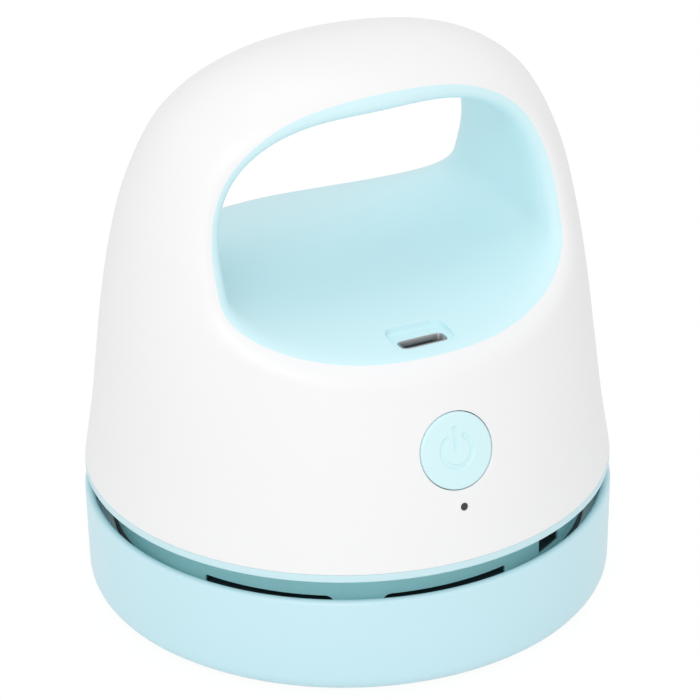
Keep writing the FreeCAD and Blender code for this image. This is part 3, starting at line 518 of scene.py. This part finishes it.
def recess_rings(border, patch):
    """Rings from the border of a patch of the grid down into the recess and the port's slot."""
    centre = np.array([0.0, socket_y])
    angle = aim(border[:, :2], centre)
    box = rounded_box(angle, recess_half_width, -recess_front, recess_back, recess_round)
    slot = rounded_box(angle, slot_half_width, -slot_half_depth, slot_half_depth, slot_round)
    outer = box * (1 + recess_border / np.linalg.norm(box, axis=-1, keepdims=True))
    flat = morph_rings(border[:, :2], centre + outer, recess_ring_count)
    points = [np.column_stack([ring, on_patch(patch, ring[:, 0], ring[:, 1])]) for ring in flat]
    depth = points[-1][:, 2] - recess_bottom
    for grow, sink in recess_wall:
        ring = centre + box * (1 + grow / np.linalg.norm(box, axis=-1, keepdims=True))
        points.append(np.column_stack([ring, recess_bottom + depth * (1 - sink)]))
    for share in recess_bottom_shares:
        ring = centre + box * (1 - share) + slot * share
        points.append(np.column_stack([ring, np.full(len(ring), recess_bottom)]))
    for sink in (slot_edge, slot_depth):
        points.append(np.column_stack([centre + slot, np.full(len(slot), recess_bottom - sink)]))
    return np.array(points)


def liner_mesh():
    grid = liner_grid()
    socket_row = np.argmin(np.abs(grid[:, middle_column, 1] - socket_y))
    across = np.abs(grid[socket_row, :seam_count, 0])
    columns = np.nonzero(across < recess_half_width + recess_margin)[0]
    from_socket = grid[:, columns, 1] - socket_y
    in_recess = (from_socket > -recess_front - recess_edge) & (from_socket < recess_back + recess_edge)
    covered = np.nonzero(in_recess.any(1))[0]
    rows = np.arange(covered[0] - 1, covered[-1] + 2)
    loop = border_loop(rows, columns)
    border = grid[loop[:, 0], loop[:, 1]]
    rings = np.concatenate([border[None], recess_rings(border, grid[rows][:, columns])])
    kept = np.ones((len(grid) - 1, turn_count), bool)
    kept[np.ix_(rows[:-1], columns[:-1])] = False
    quads = [grid_quads(len(grid), turn_count)[kept.ravel()],
             grid_quads(rings.shape[0], rings.shape[1], start=grid.shape[0] * turn_count)]
    ends = grid[rows[[0, -1]], middle_column, 1] - socket_y
    print("recess rows", len(rows), "reach past the port by", ends.round(2), "mm")
    return np.vstack([grid.reshape(-1, 3), rings.reshape(-1, 3)]), np.vstack(quads)


liner = add_mesh("liner_shell", *liner_mesh())
weld(liner, (0, 0, hole_floor), (0, 0, 1))
thicken(liner, liner_wall)
finish_mesh(liner)
installed(liner, "upper", "liner_blue", "handle_liner")

# %% [markdown]
# Round pieces are turned: a closed outline of corners, each with its rounding, is carried round the
# upright axis. The cup and the collar are both made this way.

# %% Turned pieces


def rounded_profile(corners, steps=6):
    """Closed outline through (radius, height, rounding) corners, each rounding an arc of steps pieces."""
    points = []
    for i, (r, z, rounding) in enumerate(corners):
        here = np.array([r, z], float)
        before = np.array(corners[i - 1][:2], float) - here
        after = np.array(corners[(i + 1) % len(corners)][:2], float) - here
        before, after = before / np.linalg.norm(before), after / np.linalg.norm(after)
        if rounding == 0:
            points.append(here)
            continue
        half = math.acos(np.clip(before @ after, -1, 1)) / 2
        setback = rounding / math.tan(half)
        bisector = (before + after) / np.linalg.norm(before + after)
        centre = here + bisector * rounding / math.sin(half)
        first, last = here + before * setback - centre, here + after * setback - centre
        swing = math.pi - 2 * half
        for k in range(steps + 1):
            t = k / steps
            arc = (first * math.sin((1 - t) * swing) + last * math.sin(t * swing)) / math.sin(swing)
            points.append(centre + arc)
    return np.array(points)


def turned_points(profile, angles):
    """Points of a profile of (radius, height) carried round Z, one column for each angle."""
    radius, height = profile[:, 0][:, None], profile[:, 1][:, None]
    x, y = radius * np.cos(angles), radius * np.sin(angles)
    return np.stack([x, y, np.broadcast_to(height, x.shape)], -1)


def turned_mesh(profile, count=256):
    angles = np.arange(count) / count * 2 * np.pi
    closed = np.vstack([profile, profile[:1]])
    points = turned_points(closed, angles)
    return points.reshape(-1, 3), grid_quads(len(closed), count)


# %% [markdown]
# The dust cup stands on the desk: a plain ring wall with a rounded rim and foot, a ledge for the floor
# plate, and six ribs on its inner side that carry the filter. The ribs are plain blocks, set by a loop.

# %% Dust cup
cup_height = 16.7
cup_top_radius = 41.45
cup_foot_radius = 41.05
cup_wall = 1.5
cup_inner_radius = cup_top_radius - cup_wall
foot_inner_radius = 36.45
ledge_radius = 38.45
ledge_low = 2.2
floor_top = 3.4
rib_count = 6
rib_top = 9.5
rib_depth = 2.4
rib_half_width = 0.6
foot_low = 0.3
foot_round = 3.0
foot_inner_round = 0.3
rim_round = 0.7
floor_round = 0.4
ledge_round = 0.2
turned_crease = 40
cup_profile = rounded_profile([
    (foot_inner_radius, foot_low, foot_inner_round), (cup_foot_radius, foot_low, foot_round),
    (cup_top_radius, cup_height, rim_round), (cup_inner_radius, cup_height, rim_round),
    (cup_inner_radius, floor_top, floor_round), (ledge_radius, floor_top, 0),
    (ledge_radius, ledge_low, 0), (foot_inner_radius, ledge_low, ledge_round),
])


def rib_block(number):
    """Eight corners of one rib, from inside the wall to its free edge."""
    turn = (number + 0.5) / rib_count * 2 * np.pi
    out, side, up = np.meshgrid([cup_inner_radius - rib_depth, cup_inner_radius + cup_wall / 2],
                                [-rib_half_width, rib_half_width], [floor_top, rib_top], indexing="ij")
    x = out * np.cos(turn) - side * np.sin(turn)
    y = out * np.sin(turn) + side * np.cos(turn)
    return np.stack([x, y, up], -1).reshape(-1, 3)


def cup_mesh():
    points, quads = turned_mesh(cup_profile)
    block = np.array([(0, 1, 3, 2), (4, 6, 7, 5), (0, 4, 5, 1), (2, 3, 7, 6), (0, 2, 6, 4), (1, 5, 7, 3)])
    ribs = [rib_block(number) for number in range(rib_count)]
    blocks = [block + len(points) + 8 * number for number in range(rib_count)]
    return np.vstack([points, *ribs]), np.vstack([quads, *blocks])


cup = add_mesh("cup_shell", *cup_mesh())
weld(cup)
finish_mesh(cup, turned_crease)
installed(cup, "base", "cup_blue", "dust_cup")

# %% [markdown]
# The exhaust collar closes the casing from below. Its lip shows as a thin light line under the white, and
# its wall is hollowed under the lip. Each half of the wall has two low slots and two tall openings. The
# turned grid's lower edge follows the windows' rounded tops, so that no window has to be cut. The plate
# under the wall closes the windows from below.

# %% Exhaust collar
collar_radius = 37.0
collar_wall = 1.6
collar_low = 14.0
collar_hollow = 1.6
lip_top = 21.3
lip_low = 20.0
lip_radius = 41.24
lip_low_round = 0.25
lip_top_round = 0.15
collar_bore = 5.2
collar_round = 0.3
spigot_outer = 38.7
spigot_inner = 37.3
spigot_top = 23.7
spigot_round = 0.2
slot_top = 15.35
opening_top = 18.3
soft_corner = 1.5
tight_corner = 0.3
half_windows = (
    (-212.0, -187.0, opening_top, tight_corner, tight_corner),
    (-152.4, -119.6, slot_top, tight_corner, soft_corner),
    (-108.5, -76.1, slot_top, soft_corner, tight_corner),
    (-64.0, -55.0, opening_top, tight_corner, tight_corner),
)
windows = [(start + turn, end + turn, *rest) for turn in (0, 180) for start, end, *rest in half_windows]
side_step = 0.01
wall_step = 0.5


def wall_edge(angles):
    """Height of the wall's lower edge: its foot under a post, and a window's rounded top elsewhere."""
    height = np.full_like(angles, collar_low)
    for start, end, top, start_round, end_round in windows:
        past = (angles - start) % 360
        drop = np.zeros_like(angles)
        for away, rounding in ((past, start_round), (end - start - past, end_round)):
            corner = np.clip(1 - np.radians(away) * collar_radius / rounding, 0, 1)
            drop = np.maximum(drop, rounding * (1 - np.sqrt(1 - corner ** 2)))
        height = np.where(past < end - start, np.maximum(top - drop, collar_low), height)
    return height


def collar_mesh():
    """Turned collar, its wall's lower edge shaped by the windows."""
    inner = collar_radius - collar_wall
    outline = rounded_profile([
        (collar_bore, lip_low, 0), (inner, lip_low, collar_round), (inner, collar_low, 0),
        (collar_radius, collar_low, 0), (collar_radius, lip_low, collar_hollow),
        (lip_radius, lip_low, lip_low_round), (lip_radius, lip_top, lip_top_round),
        (spigot_outer, lip_top, 0), (spigot_outer, spigot_top, spigot_round),
        (spigot_inner, spigot_top, spigot_round), (spigot_inner, lip_top, 0), (collar_bore, lip_top, 0),
    ])
    closed = np.vstack([outline, outline[:1]])
    ends = np.array([window[:2] for window in windows]).ravel()
    sides = np.concatenate([ends - side_step, ends + side_step]) % 360
    angles = np.unique(np.concatenate([np.arange(0, 360, wall_step), sides]))
    points = turned_points(closed, np.radians(angles))
    points[np.isclose(closed[:, 1], collar_low), :, 2] = wall_edge(angles)
    return points.reshape(-1, 3), grid_quads(len(closed), len(angles))


collar = add_mesh("collar_ring", *collar_mesh())
weld(collar, reach=2e-7)
finish_mesh(collar, turned_crease)
installed(collar, "upper", "collar_blue", "exhaust_collar")

# %% [markdown]
# The button's face follows the skin, a hair proud of it, with a plain on-off sign pressed into it. A
# height field does that best: each point's distance to the sign's arc and bar says how deep it lies.

# %% Push button
button_proud = 0.12
button_round = 0.35
mark_radius = 2.5
mark_half_width = 0.36
mark_depth = 0.3
mark_soft = 0.1
mark_open = math.radians(35.0)
bar_low = 0.5
bar_high = 3.4
button_columns = 288
button_rows = 62
button_pole = 0.02
button_first_ring = 0.1
# Rows behind the button's face as (share of its radius, place out along its axis): skirt, flange and stem.
button_back = ((1.0, -3.6), (1.24, -3.6), (1.24, -4.6), (0.37, -4.6), (0.37, -6.6), (0.002, -6.6))


def mark_distance(across, above):
    """Distance to the middle line of the on-off sign: a ring open at the top, and an upright bar."""
    angle = np.arctan2(across, above)
    held = np.maximum(np.abs(angle), mark_open)
    ring_x, ring_y = mark_radius * np.sin(held) * np.sign(across + 1e-9), mark_radius * np.cos(held)
    ring = np.hypot(across - ring_x, above - ring_y)
    bar = np.hypot(across, above - np.clip(above, bar_low, bar_high))
    return np.minimum(ring, bar)


def button_mesh():
    angles = np.arange(button_columns) / button_columns * 2 * np.pi
    radii = np.append(button_pole, np.linspace(button_first_ring, button_radius - button_round, button_rows))
    across, above = radii[:, None] * np.cos(angles), radii[:, None] * np.sin(angles)
    cut = 1 - np.clip((mark_distance(across, above) - mark_half_width + mark_soft) / (2 * mark_soft), 0, 1)
    cut = cut * cut * (3 - 2 * cut)
    rows = [at_button(across, above, skin_at_button(across, above) + button_proud - mark_depth * cut)]
    edge_x, edge_y = button_radius * np.cos(angles), button_radius * np.sin(angles)
    edge = skin_at_button(edge_x, edge_y) + button_proud
    for turn in np.radians([30, 60, 90]):
        scale = (button_radius - button_round * (1 - math.sin(turn))) / button_radius
        drop = button_round * (1 - math.cos(turn))
        rows.append(at_button(edge_x * scale, edge_y * scale, edge - drop)[None])
    for scale, out in button_back:
        rows.append(at_button(edge_x * scale, edge_y * scale, np.full(len(angles), out))[None])
    points = np.concatenate(rows)
    return points.reshape(-1, 3), grid_quads(points.shape[0], points.shape[1])


def close_poles(piece):
    """Fills the small openings left at a turned piece's poles."""
    work = bmesh.new()
    work.from_mesh(piece.data)
    bmesh.ops.holes_fill(work, edges=[edge for edge in work.edges if edge.is_boundary], sides=0)
    bmesh.ops.recalc_face_normals(work, faces=work.faces)
    work.to_mesh(piece.data)
    work.free()


button = add_mesh("button_cap", *button_mesh())
weld(button, reach=1e-7)
close_poles(button)
finish_mesh(button, turned_crease)
installed(button, "button", "button_blue", "power_button")

# %% [markdown]
# The port's shell is a thin tube of pressed sheet metal, a rounded rectangle in section, whose open end
# stands level with the recess. Rings of the outline at two sizes make its outer and inner wall.

# %% Port shell
port_half_width = 3.75
port_half_depth = 1.35
port_sheet = 0.3
port_round = 0.9
port_length = 5.6
port_columns = 96
# Rows as (share of the way from the outer outline to the inner one, drop below the recess's bottom).
port_rows = ((0, port_length), (0, 0.12), (0.25, 0.03), (0.5, 0.0), (0.75, 0.03), (1, 0.12),
             (1, port_length - port_sheet))


def port_mesh():
    angle = np.arange(port_columns) / port_columns * 2 * np.pi
    outer = rounded_box(angle, port_half_width, -port_half_depth, port_half_depth, port_round)
    inner = rounded_box(angle, port_half_width - port_sheet, -port_half_depth + port_sheet,
                        port_half_depth - port_sheet, port_round - port_sheet)
    rows = []
    for mix, drop in port_rows:
        ring = outer * (1 - mix) + inner * mix + (0, socket_y)
        rows.append(np.column_stack([ring, np.full(len(ring), recess_bottom - drop)]))
    points = np.array(rows)
    return points.reshape(-1, 3), grid_quads(len(rows), len(angle))


port = add_mesh("port_shell", *port_mesh())
close_poles(port)
finish_mesh(port, turned_crease)
installed(port, "upper", "port_steel", "charging_socket")

# %% [markdown]
# Finishes. Moulded plastic is never one flat colour: it has a fine spark-eroded grain that softens its
# gloss, and the tone drifts a little over a large piece. Both are made once as a node group with named
# inputs, and each material places it with its own values.

# %% Node group for moulded plastic


def socket(group, name, kind, direction, value=None):
    made = group.interface.new_socket(name=name, in_out=direction, socket_type=kind)
    if value is not None:
        made.default_value = value
    return made


def moulded_group():
    group = bpy.data.node_groups.new("moulded_surface", "ShaderNodeTree")
    socket(group, "Color", "NodeSocketColor", "INPUT", (0.8, 0.8, 0.8, 1))
    socket(group, "Drift", "NodeSocketFloat", "INPUT", 0.02)
    socket(group, "Roughness", "NodeSocketFloat", "INPUT", 0.4)
    socket(group, "Roughness drift", "NodeSocketFloat", "INPUT", 0.06)
    socket(group, "Grain size", "NodeSocketFloat", "INPUT", 4000.0)
    socket(group, "Grain depth", "NodeSocketFloat", "INPUT", 0.1)
    socket(group, "Color", "NodeSocketColor", "OUTPUT")
    socket(group, "Roughness", "NodeSocketFloat", "OUTPUT")
    socket(group, "Normal", "NodeSocketVector", "OUTPUT")
    nodes, links = group.nodes, group.links
    given = nodes.new("NodeGroupInput")
    result = nodes.new("NodeGroupOutput")
    place = nodes.new("ShaderNodeTexCoord")
    cloud = nodes.new("ShaderNodeTexNoise")
    cloud.inputs["Scale"].default_value = 45.0
    cloud.inputs["Detail"].default_value = 3.0
    grain = nodes.new("ShaderNodeTexNoise")
    grain.inputs["Detail"].default_value = 2.0
    centred = nodes.new("ShaderNodeMath")
    centred.operation = "SUBTRACT"
    centred.inputs[1].default_value = 0.5
    tone = nodes.new("ShaderNodeMath")
    tone.operation = "MULTIPLY_ADD"
    tone.inputs[2].default_value = 1.0
    tint = nodes.new("ShaderNodeVectorMath")
    tint.operation = "SCALE"
    gloss = nodes.new("ShaderNodeMath")
    gloss.operation = "MULTIPLY_ADD"
    bump = nodes.new("ShaderNodeBump")
    bump.inputs["Distance"].default_value = 0.00002
    links.new(place.outputs["Object"], cloud.inputs["Vector"])
    links.new(place.outputs["Object"], grain.inputs["Vector"])
    links.new(given.outputs["Grain size"], grain.inputs["Scale"])
    links.new(cloud.outputs["Fac"], centred.inputs[0])
    links.new(centred.outputs[0], tone.inputs[0])
    links.new(given.outputs["Drift"], tone.inputs[1])
    links.new(given.outputs["Color"], tint.inputs[0])
    links.new(tone.outputs[0], tint.inputs["Scale"])
    links.new(tint.outputs[0], result.inputs["Color"])
    links.new(centred.outputs[0], gloss.inputs[0])
    links.new(given.outputs["Roughness drift"], gloss.inputs[1])
    links.new(given.outputs["Roughness"], gloss.inputs[2])
    links.new(gloss.outputs[0], result.inputs["Roughness"])
    links.new(grain.outputs["Fac"], bump.inputs["Height"])
    links.new(given.outputs["Grain depth"], bump.inputs["Strength"])
    links.new(bump.outputs["Normal"], result.inputs["Normal"])
    return group


moulded = moulded_group()


def plastic(name, color, roughness, grain_size=3500.0, grain_depth=0.12, drift=0.03):
    """Moulded plastic with its grain and drift from the shared group."""
    material = bpy.data.materials.new(name)
    material.use_nodes = True
    nodes, links = material.node_tree.nodes, material.node_tree.links
    shader = nodes["Principled BSDF"]
    surface = nodes.new("ShaderNodeGroup")
    surface.node_tree = moulded
    surface.inputs["Color"].default_value = (*color, 1)
    surface.inputs["Drift"].default_value = drift
    surface.inputs["Roughness"].default_value = roughness
    surface.inputs["Grain size"].default_value = grain_size
    surface.inputs["Grain depth"].default_value = grain_depth
    links.new(surface.outputs["Color"], shader.inputs["Base Color"])
    links.new(surface.outputs["Roughness"], shader.inputs["Roughness"])
    links.new(surface.outputs["Normal"], shader.inputs["Normal"])
    return material


def metal(name, color, roughness, grain_size=1500.0):
    material = plastic(name, color, roughness, grain_size, 0.2, 0.08)
    material.node_tree.nodes["Principled BSDF"].inputs["Metallic"].default_value = 1.0
    return material


# The lip tone is the collar's own blue. The wall tone is painted shade: the same plastic made deeper and
# greener, as in the hollow under the lip. The inner tone is painted shade that keeps the inside seen through
# the windows dark.
lip_tone = (0.62, 0.85, 0.90, 1)
wall_shade_tone = (0.47, 0.85, 0.88, 1)
inner_shade_tone = (0.03, 0.06, 0.07, 1)
inner_shade_radius = 36.0


def collar_plastic_and_shade():
    """Collar's plastic by radius: its own light blue on the lip, painted shade on the hollowed wall, and
    near-black painted shade on the inner side.
    """
    material = plastic("blue_collar_and_painted_shade", lip_tone[:3], 0.42)
    nodes, links = material.node_tree.nodes, material.node_tree.links
    place = nodes.new("ShaderNodeTexCoord")
    flat = nodes.new("ShaderNodeVectorMath")
    flat.operation = "MULTIPLY"
    flat.inputs[1].default_value = (1, 1, 0)
    radius = nodes.new("ShaderNodeVectorMath")
    radius.operation = "LENGTH"
    share = nodes.new("ShaderNodeMapRange")
    share.inputs["From Min"].default_value = inner_shade_radius * mm
    share.inputs["From Max"].default_value = lip_radius * mm
    painted_shade_tones = nodes.new("ShaderNodeValToRGB")
    ramp = painted_shade_tones.color_ramp.elements
    ramp[0].position, ramp[0].color = 0.10, inner_shade_tone
    ramp[1].position, ramp[1].color = 0.97, lip_tone
    for position in (0.18, 0.62):
        step = ramp.new(position)
        step.color = wall_shade_tone
    links.new(place.outputs["Object"], flat.inputs[0])
    links.new(flat.outputs[0], radius.inputs[0])
    links.new(radius.outputs["Value"], share.inputs["Value"])
    links.new(share.outputs[0], painted_shade_tones.inputs["Fac"])
    surface = next(node for node in nodes if node.type == "GROUP")
    links.new(painted_shade_tones.outputs["Color"], surface.inputs["Color"])
    return material


finishes = {
    "casing_white": plastic("white_casing", (0.92, 0.92, 0.925), 0.42, drift=0.012),
    "liner_blue": plastic("blue_liner", (0.68, 0.92, 0.965), 0.45, drift=0.015),
    "cup_blue": plastic("blue_cup", (0.60, 0.85, 0.92), 0.35, drift=0.015),
    "collar_blue": collar_plastic_and_shade(),
    "button_blue": plastic("blue_button", (0.69, 0.93, 0.96), 0.38, drift=0.012),
    "inner_white": plastic("inner_moulding", (0.72, 0.77, 0.78), 0.5),
    # Near-black moulding; on the fan wheel it serves as painted shade.
    "inner_dark": plastic("dark_moulding_and_painted_shade", (0.02, 0.022, 0.025), 0.45),
    "board_green": plastic("circuit_board", (0.02, 0.13, 0.06), 0.35),
    "steel": metal("screw_steel", (0.56, 0.57, 0.58), 0.32),
    "port_steel": metal("port_sheet", (0.42, 0.42, 0.43), 0.3),
    "motor_steel": metal("motor_plating", (0.5, 0.51, 0.52), 0.35),
    "magnet": metal("magnet_iron", (0.08, 0.08, 0.09), 0.6),
    "laminations": metal("rotor_sheet", (0.22, 0.2, 0.18), 0.5),
    "brass": metal("terminal_brass", (0.62, 0.45, 0.18), 0.3),
    "cell_wrap": plastic("cell_wrap", (0.03, 0.11, 0.33), 0.25),
    # The lamp's lens is a real part; its near-black colour is painted shade for the dark pinhole it sits in.
    "lamp": plastic("lamp_lens_painted_shade", (0.04, 0.04, 0.045), 0.2),
    "bristle": plastic("bristle_nylon", (0.8, 0.81, 0.8), 0.5),
    "rubber_grey": plastic("soft_rubber", (0.1, 0.11, 0.12), 0.75),
    "mesh": plastic("filter_weave", (0.08, 0.09, 0.1), 0.8),
    "felt": plastic("filter_felt", (0.76, 0.76, 0.73), 0.9),
}


def dress(piece, slot):
    piece.data.materials.clear()
    piece.data.materials.append(finishes[slot])


dress(casing, "casing_white")
dress(liner, "liner_blue")
dress(cup, "cup_blue")
dress(collar, "collar_blue")
dress(button, "button_blue")
dress(port, "port_steel")
# The fan wheel's own slot is replaced by the near-black finish: painted shade that keeps the inside seen
# through the collar's windows dark.
for part in frame["record"]["subparts"]:
    finish = "inner_dark" if part["node"] == "fan_wheel" else part["material_slot"]
    for place in frame["nodes"][part["node"]].material_slots:
        place.material = finishes[finish]
print("finishes", len(finishes))

# %% [markdown]
# The stage: a white floor that only keeps the object's shadow, a white world, and large soft lamps. What
# the camera sees directly is pure white, while the light on the object stays at a plain level.

# %% Floor and world
white = (1.0, 1.0, 1.0, 1.0)
floor_glow = 1.02
floor_glow_share = 0.92
room_light = 0.74


def floor_material():
    material = bpy.data.materials.new("floor_paper")
    material.use_nodes = True
    nodes, links = material.node_tree.nodes, material.node_tree.links
    shader = nodes["Principled BSDF"]
    shader.inputs["Base Color"].default_value = (0.9, 0.9, 0.9, 1)
    shader.inputs["Roughness"].default_value = 0.9
    glow = nodes.new("ShaderNodeEmission")
    glow.inputs["Color"].default_value = white
    glow.inputs["Strength"].default_value = floor_glow
    seen = nodes.new("ShaderNodeLightPath")
    either = nodes.new("ShaderNodeMath")
    either.operation = "MAXIMUM"
    share = nodes.new("ShaderNodeMath")
    share.operation = "MULTIPLY"
    share.inputs[1].default_value = floor_glow_share
    mix = nodes.new("ShaderNodeMixShader")
    links.new(seen.outputs["Is Camera Ray"], either.inputs[0])
    links.new(seen.outputs["Is Glossy Ray"], either.inputs[1])
    links.new(either.outputs[0], share.inputs[0])
    links.new(share.outputs[0], mix.inputs[0])
    links.new(shader.outputs[0], mix.inputs[1])
    links.new(glow.outputs[0], mix.inputs[2])
    links.new(mix.outputs[0], nodes["Material Output"].inputs["Surface"])
    return material


floor_size = 4000.0
floor_level = -0.05
floor_points = [(-floor_size, -floor_size, floor_level), (floor_size, -floor_size, floor_level),
                (floor_size, floor_size, floor_level), (-floor_size, floor_size, floor_level)]
floor = add_mesh("floor", floor_points, np.array([[0, 1, 2, 3]]))
floor.data.materials.append(floor_material())


def white_world(strength):
    world = bpy.data.worlds.new("studio")
    bpy.context.scene.world = world
    world.use_nodes = True
    nodes, links = world.node_tree.nodes, world.node_tree.links
    light = nodes["Background"]
    light.inputs["Color"].default_value = white
    light.inputs["Strength"].default_value = strength
    backdrop = nodes.new("ShaderNodeBackground")
    backdrop.inputs["Color"].default_value = white
    backdrop.inputs["Strength"].default_value = 1.0
    seen = nodes.new("ShaderNodeLightPath")
    either = nodes.new("ShaderNodeMath")
    either.operation = "MAXIMUM"
    mix = nodes.new("ShaderNodeMixShader")
    links.new(seen.outputs["Is Camera Ray"], either.inputs[0])
    links.new(seen.outputs["Is Transmission Ray"], either.inputs[1])
    links.new(either.outputs[0], mix.inputs[0])
    links.new(light.outputs[0], mix.inputs[1])
    links.new(backdrop.outputs[0], mix.inputs[2])
    links.new(mix.outputs[0], nodes["World Output"].inputs["Surface"])


white_world(room_light)

# %% [markdown]
# The camera looks down at about 28 degrees, turned so that the button lies right of the middle. Its
# distance and lens were worked out from the photograph's round base, which gives the perspective.

# %% Camera
camera_distance = 720.0
camera_height = math.radians(27.567)
camera_turn = math.radians(26.2)
camera_roll = math.radians(-0.796)
camera_target = Vector((0, 0, 35.0))
pixels_per_mm = 6.406
image_size = 700.0
image_middle = (346.14, 366.98)
sensor = 36.0


def add_camera():
    away = Vector((-math.sin(camera_turn) * math.cos(camera_height),
                   -math.cos(camera_turn) * math.cos(camera_height), math.sin(camera_height)))
    right = Vector((0, 0, 1)).cross(away).normalized()
    above = away.cross(right)
    turned_right = math.cos(camera_roll) * right + math.sin(camera_roll) * above
    turned_up = -math.sin(camera_roll) * right + math.cos(camera_roll) * above
    data = bpy.data.cameras.new("camera")
    data.sensor_width = sensor
    data.lens = pixels_per_mm * camera_distance / image_size * sensor
    data.shift_x = (image_size / 2 - image_middle[0]) / image_size
    data.shift_y = (image_middle[1] - image_size / 2) / image_size
    data.clip_start = 0.01
    data.clip_end = 20.0
    camera = bpy.data.objects.new("camera", data)
    place = (camera_target + away * camera_distance) * mm
    camera.matrix_world = Matrix((
        (turned_right.x, turned_up.x, away.x, place.x),
        (turned_right.y, turned_up.y, away.y, place.y),
        (turned_right.z, turned_up.z, away.z, place.z),
        (0, 0, 0, 1),
    ))
    bpy.context.scene.collection.objects.link(camera)
    bpy.context.scene.camera = camera
    return camera


camera = add_camera()
print("lens", round(camera.data.lens, 1))
print("shift", round(camera.data.shift_x, 4), round(camera.data.shift_y, 4))

# %% [markdown]
# Two large soft lamps: one high at the front left, which gives the front its brightness, and a weaker
# one above. The right side is left to the white room, so it turns a little grey as in the photograph.

# %% Lamps
lamp_aim = Vector((0, 0, 0.045))


def soft_lamp(name, place, size, power):
    data = bpy.data.lights.new(name, "AREA")
    data.shape = "DISK"
    data.size = size
    data.energy = power
    lamp = bpy.data.objects.new(name, data)
    lamp.location = place
    lamp.rotation_euler = (lamp_aim - Vector(place)).to_track_quat("-Z", "Y").to_euler()
    bpy.context.scene.collection.objects.link(lamp)
    return lamp


soft_lamp("front_lamp", place=(-0.6, -0.85, 0.75), size=0.7, power=3.7)
soft_lamp("top_lamp", place=(0.1, 0.1, 1.2), size=0.8, power=1.7)
bpy.context.scene.view_settings.view_transform = "Standard"
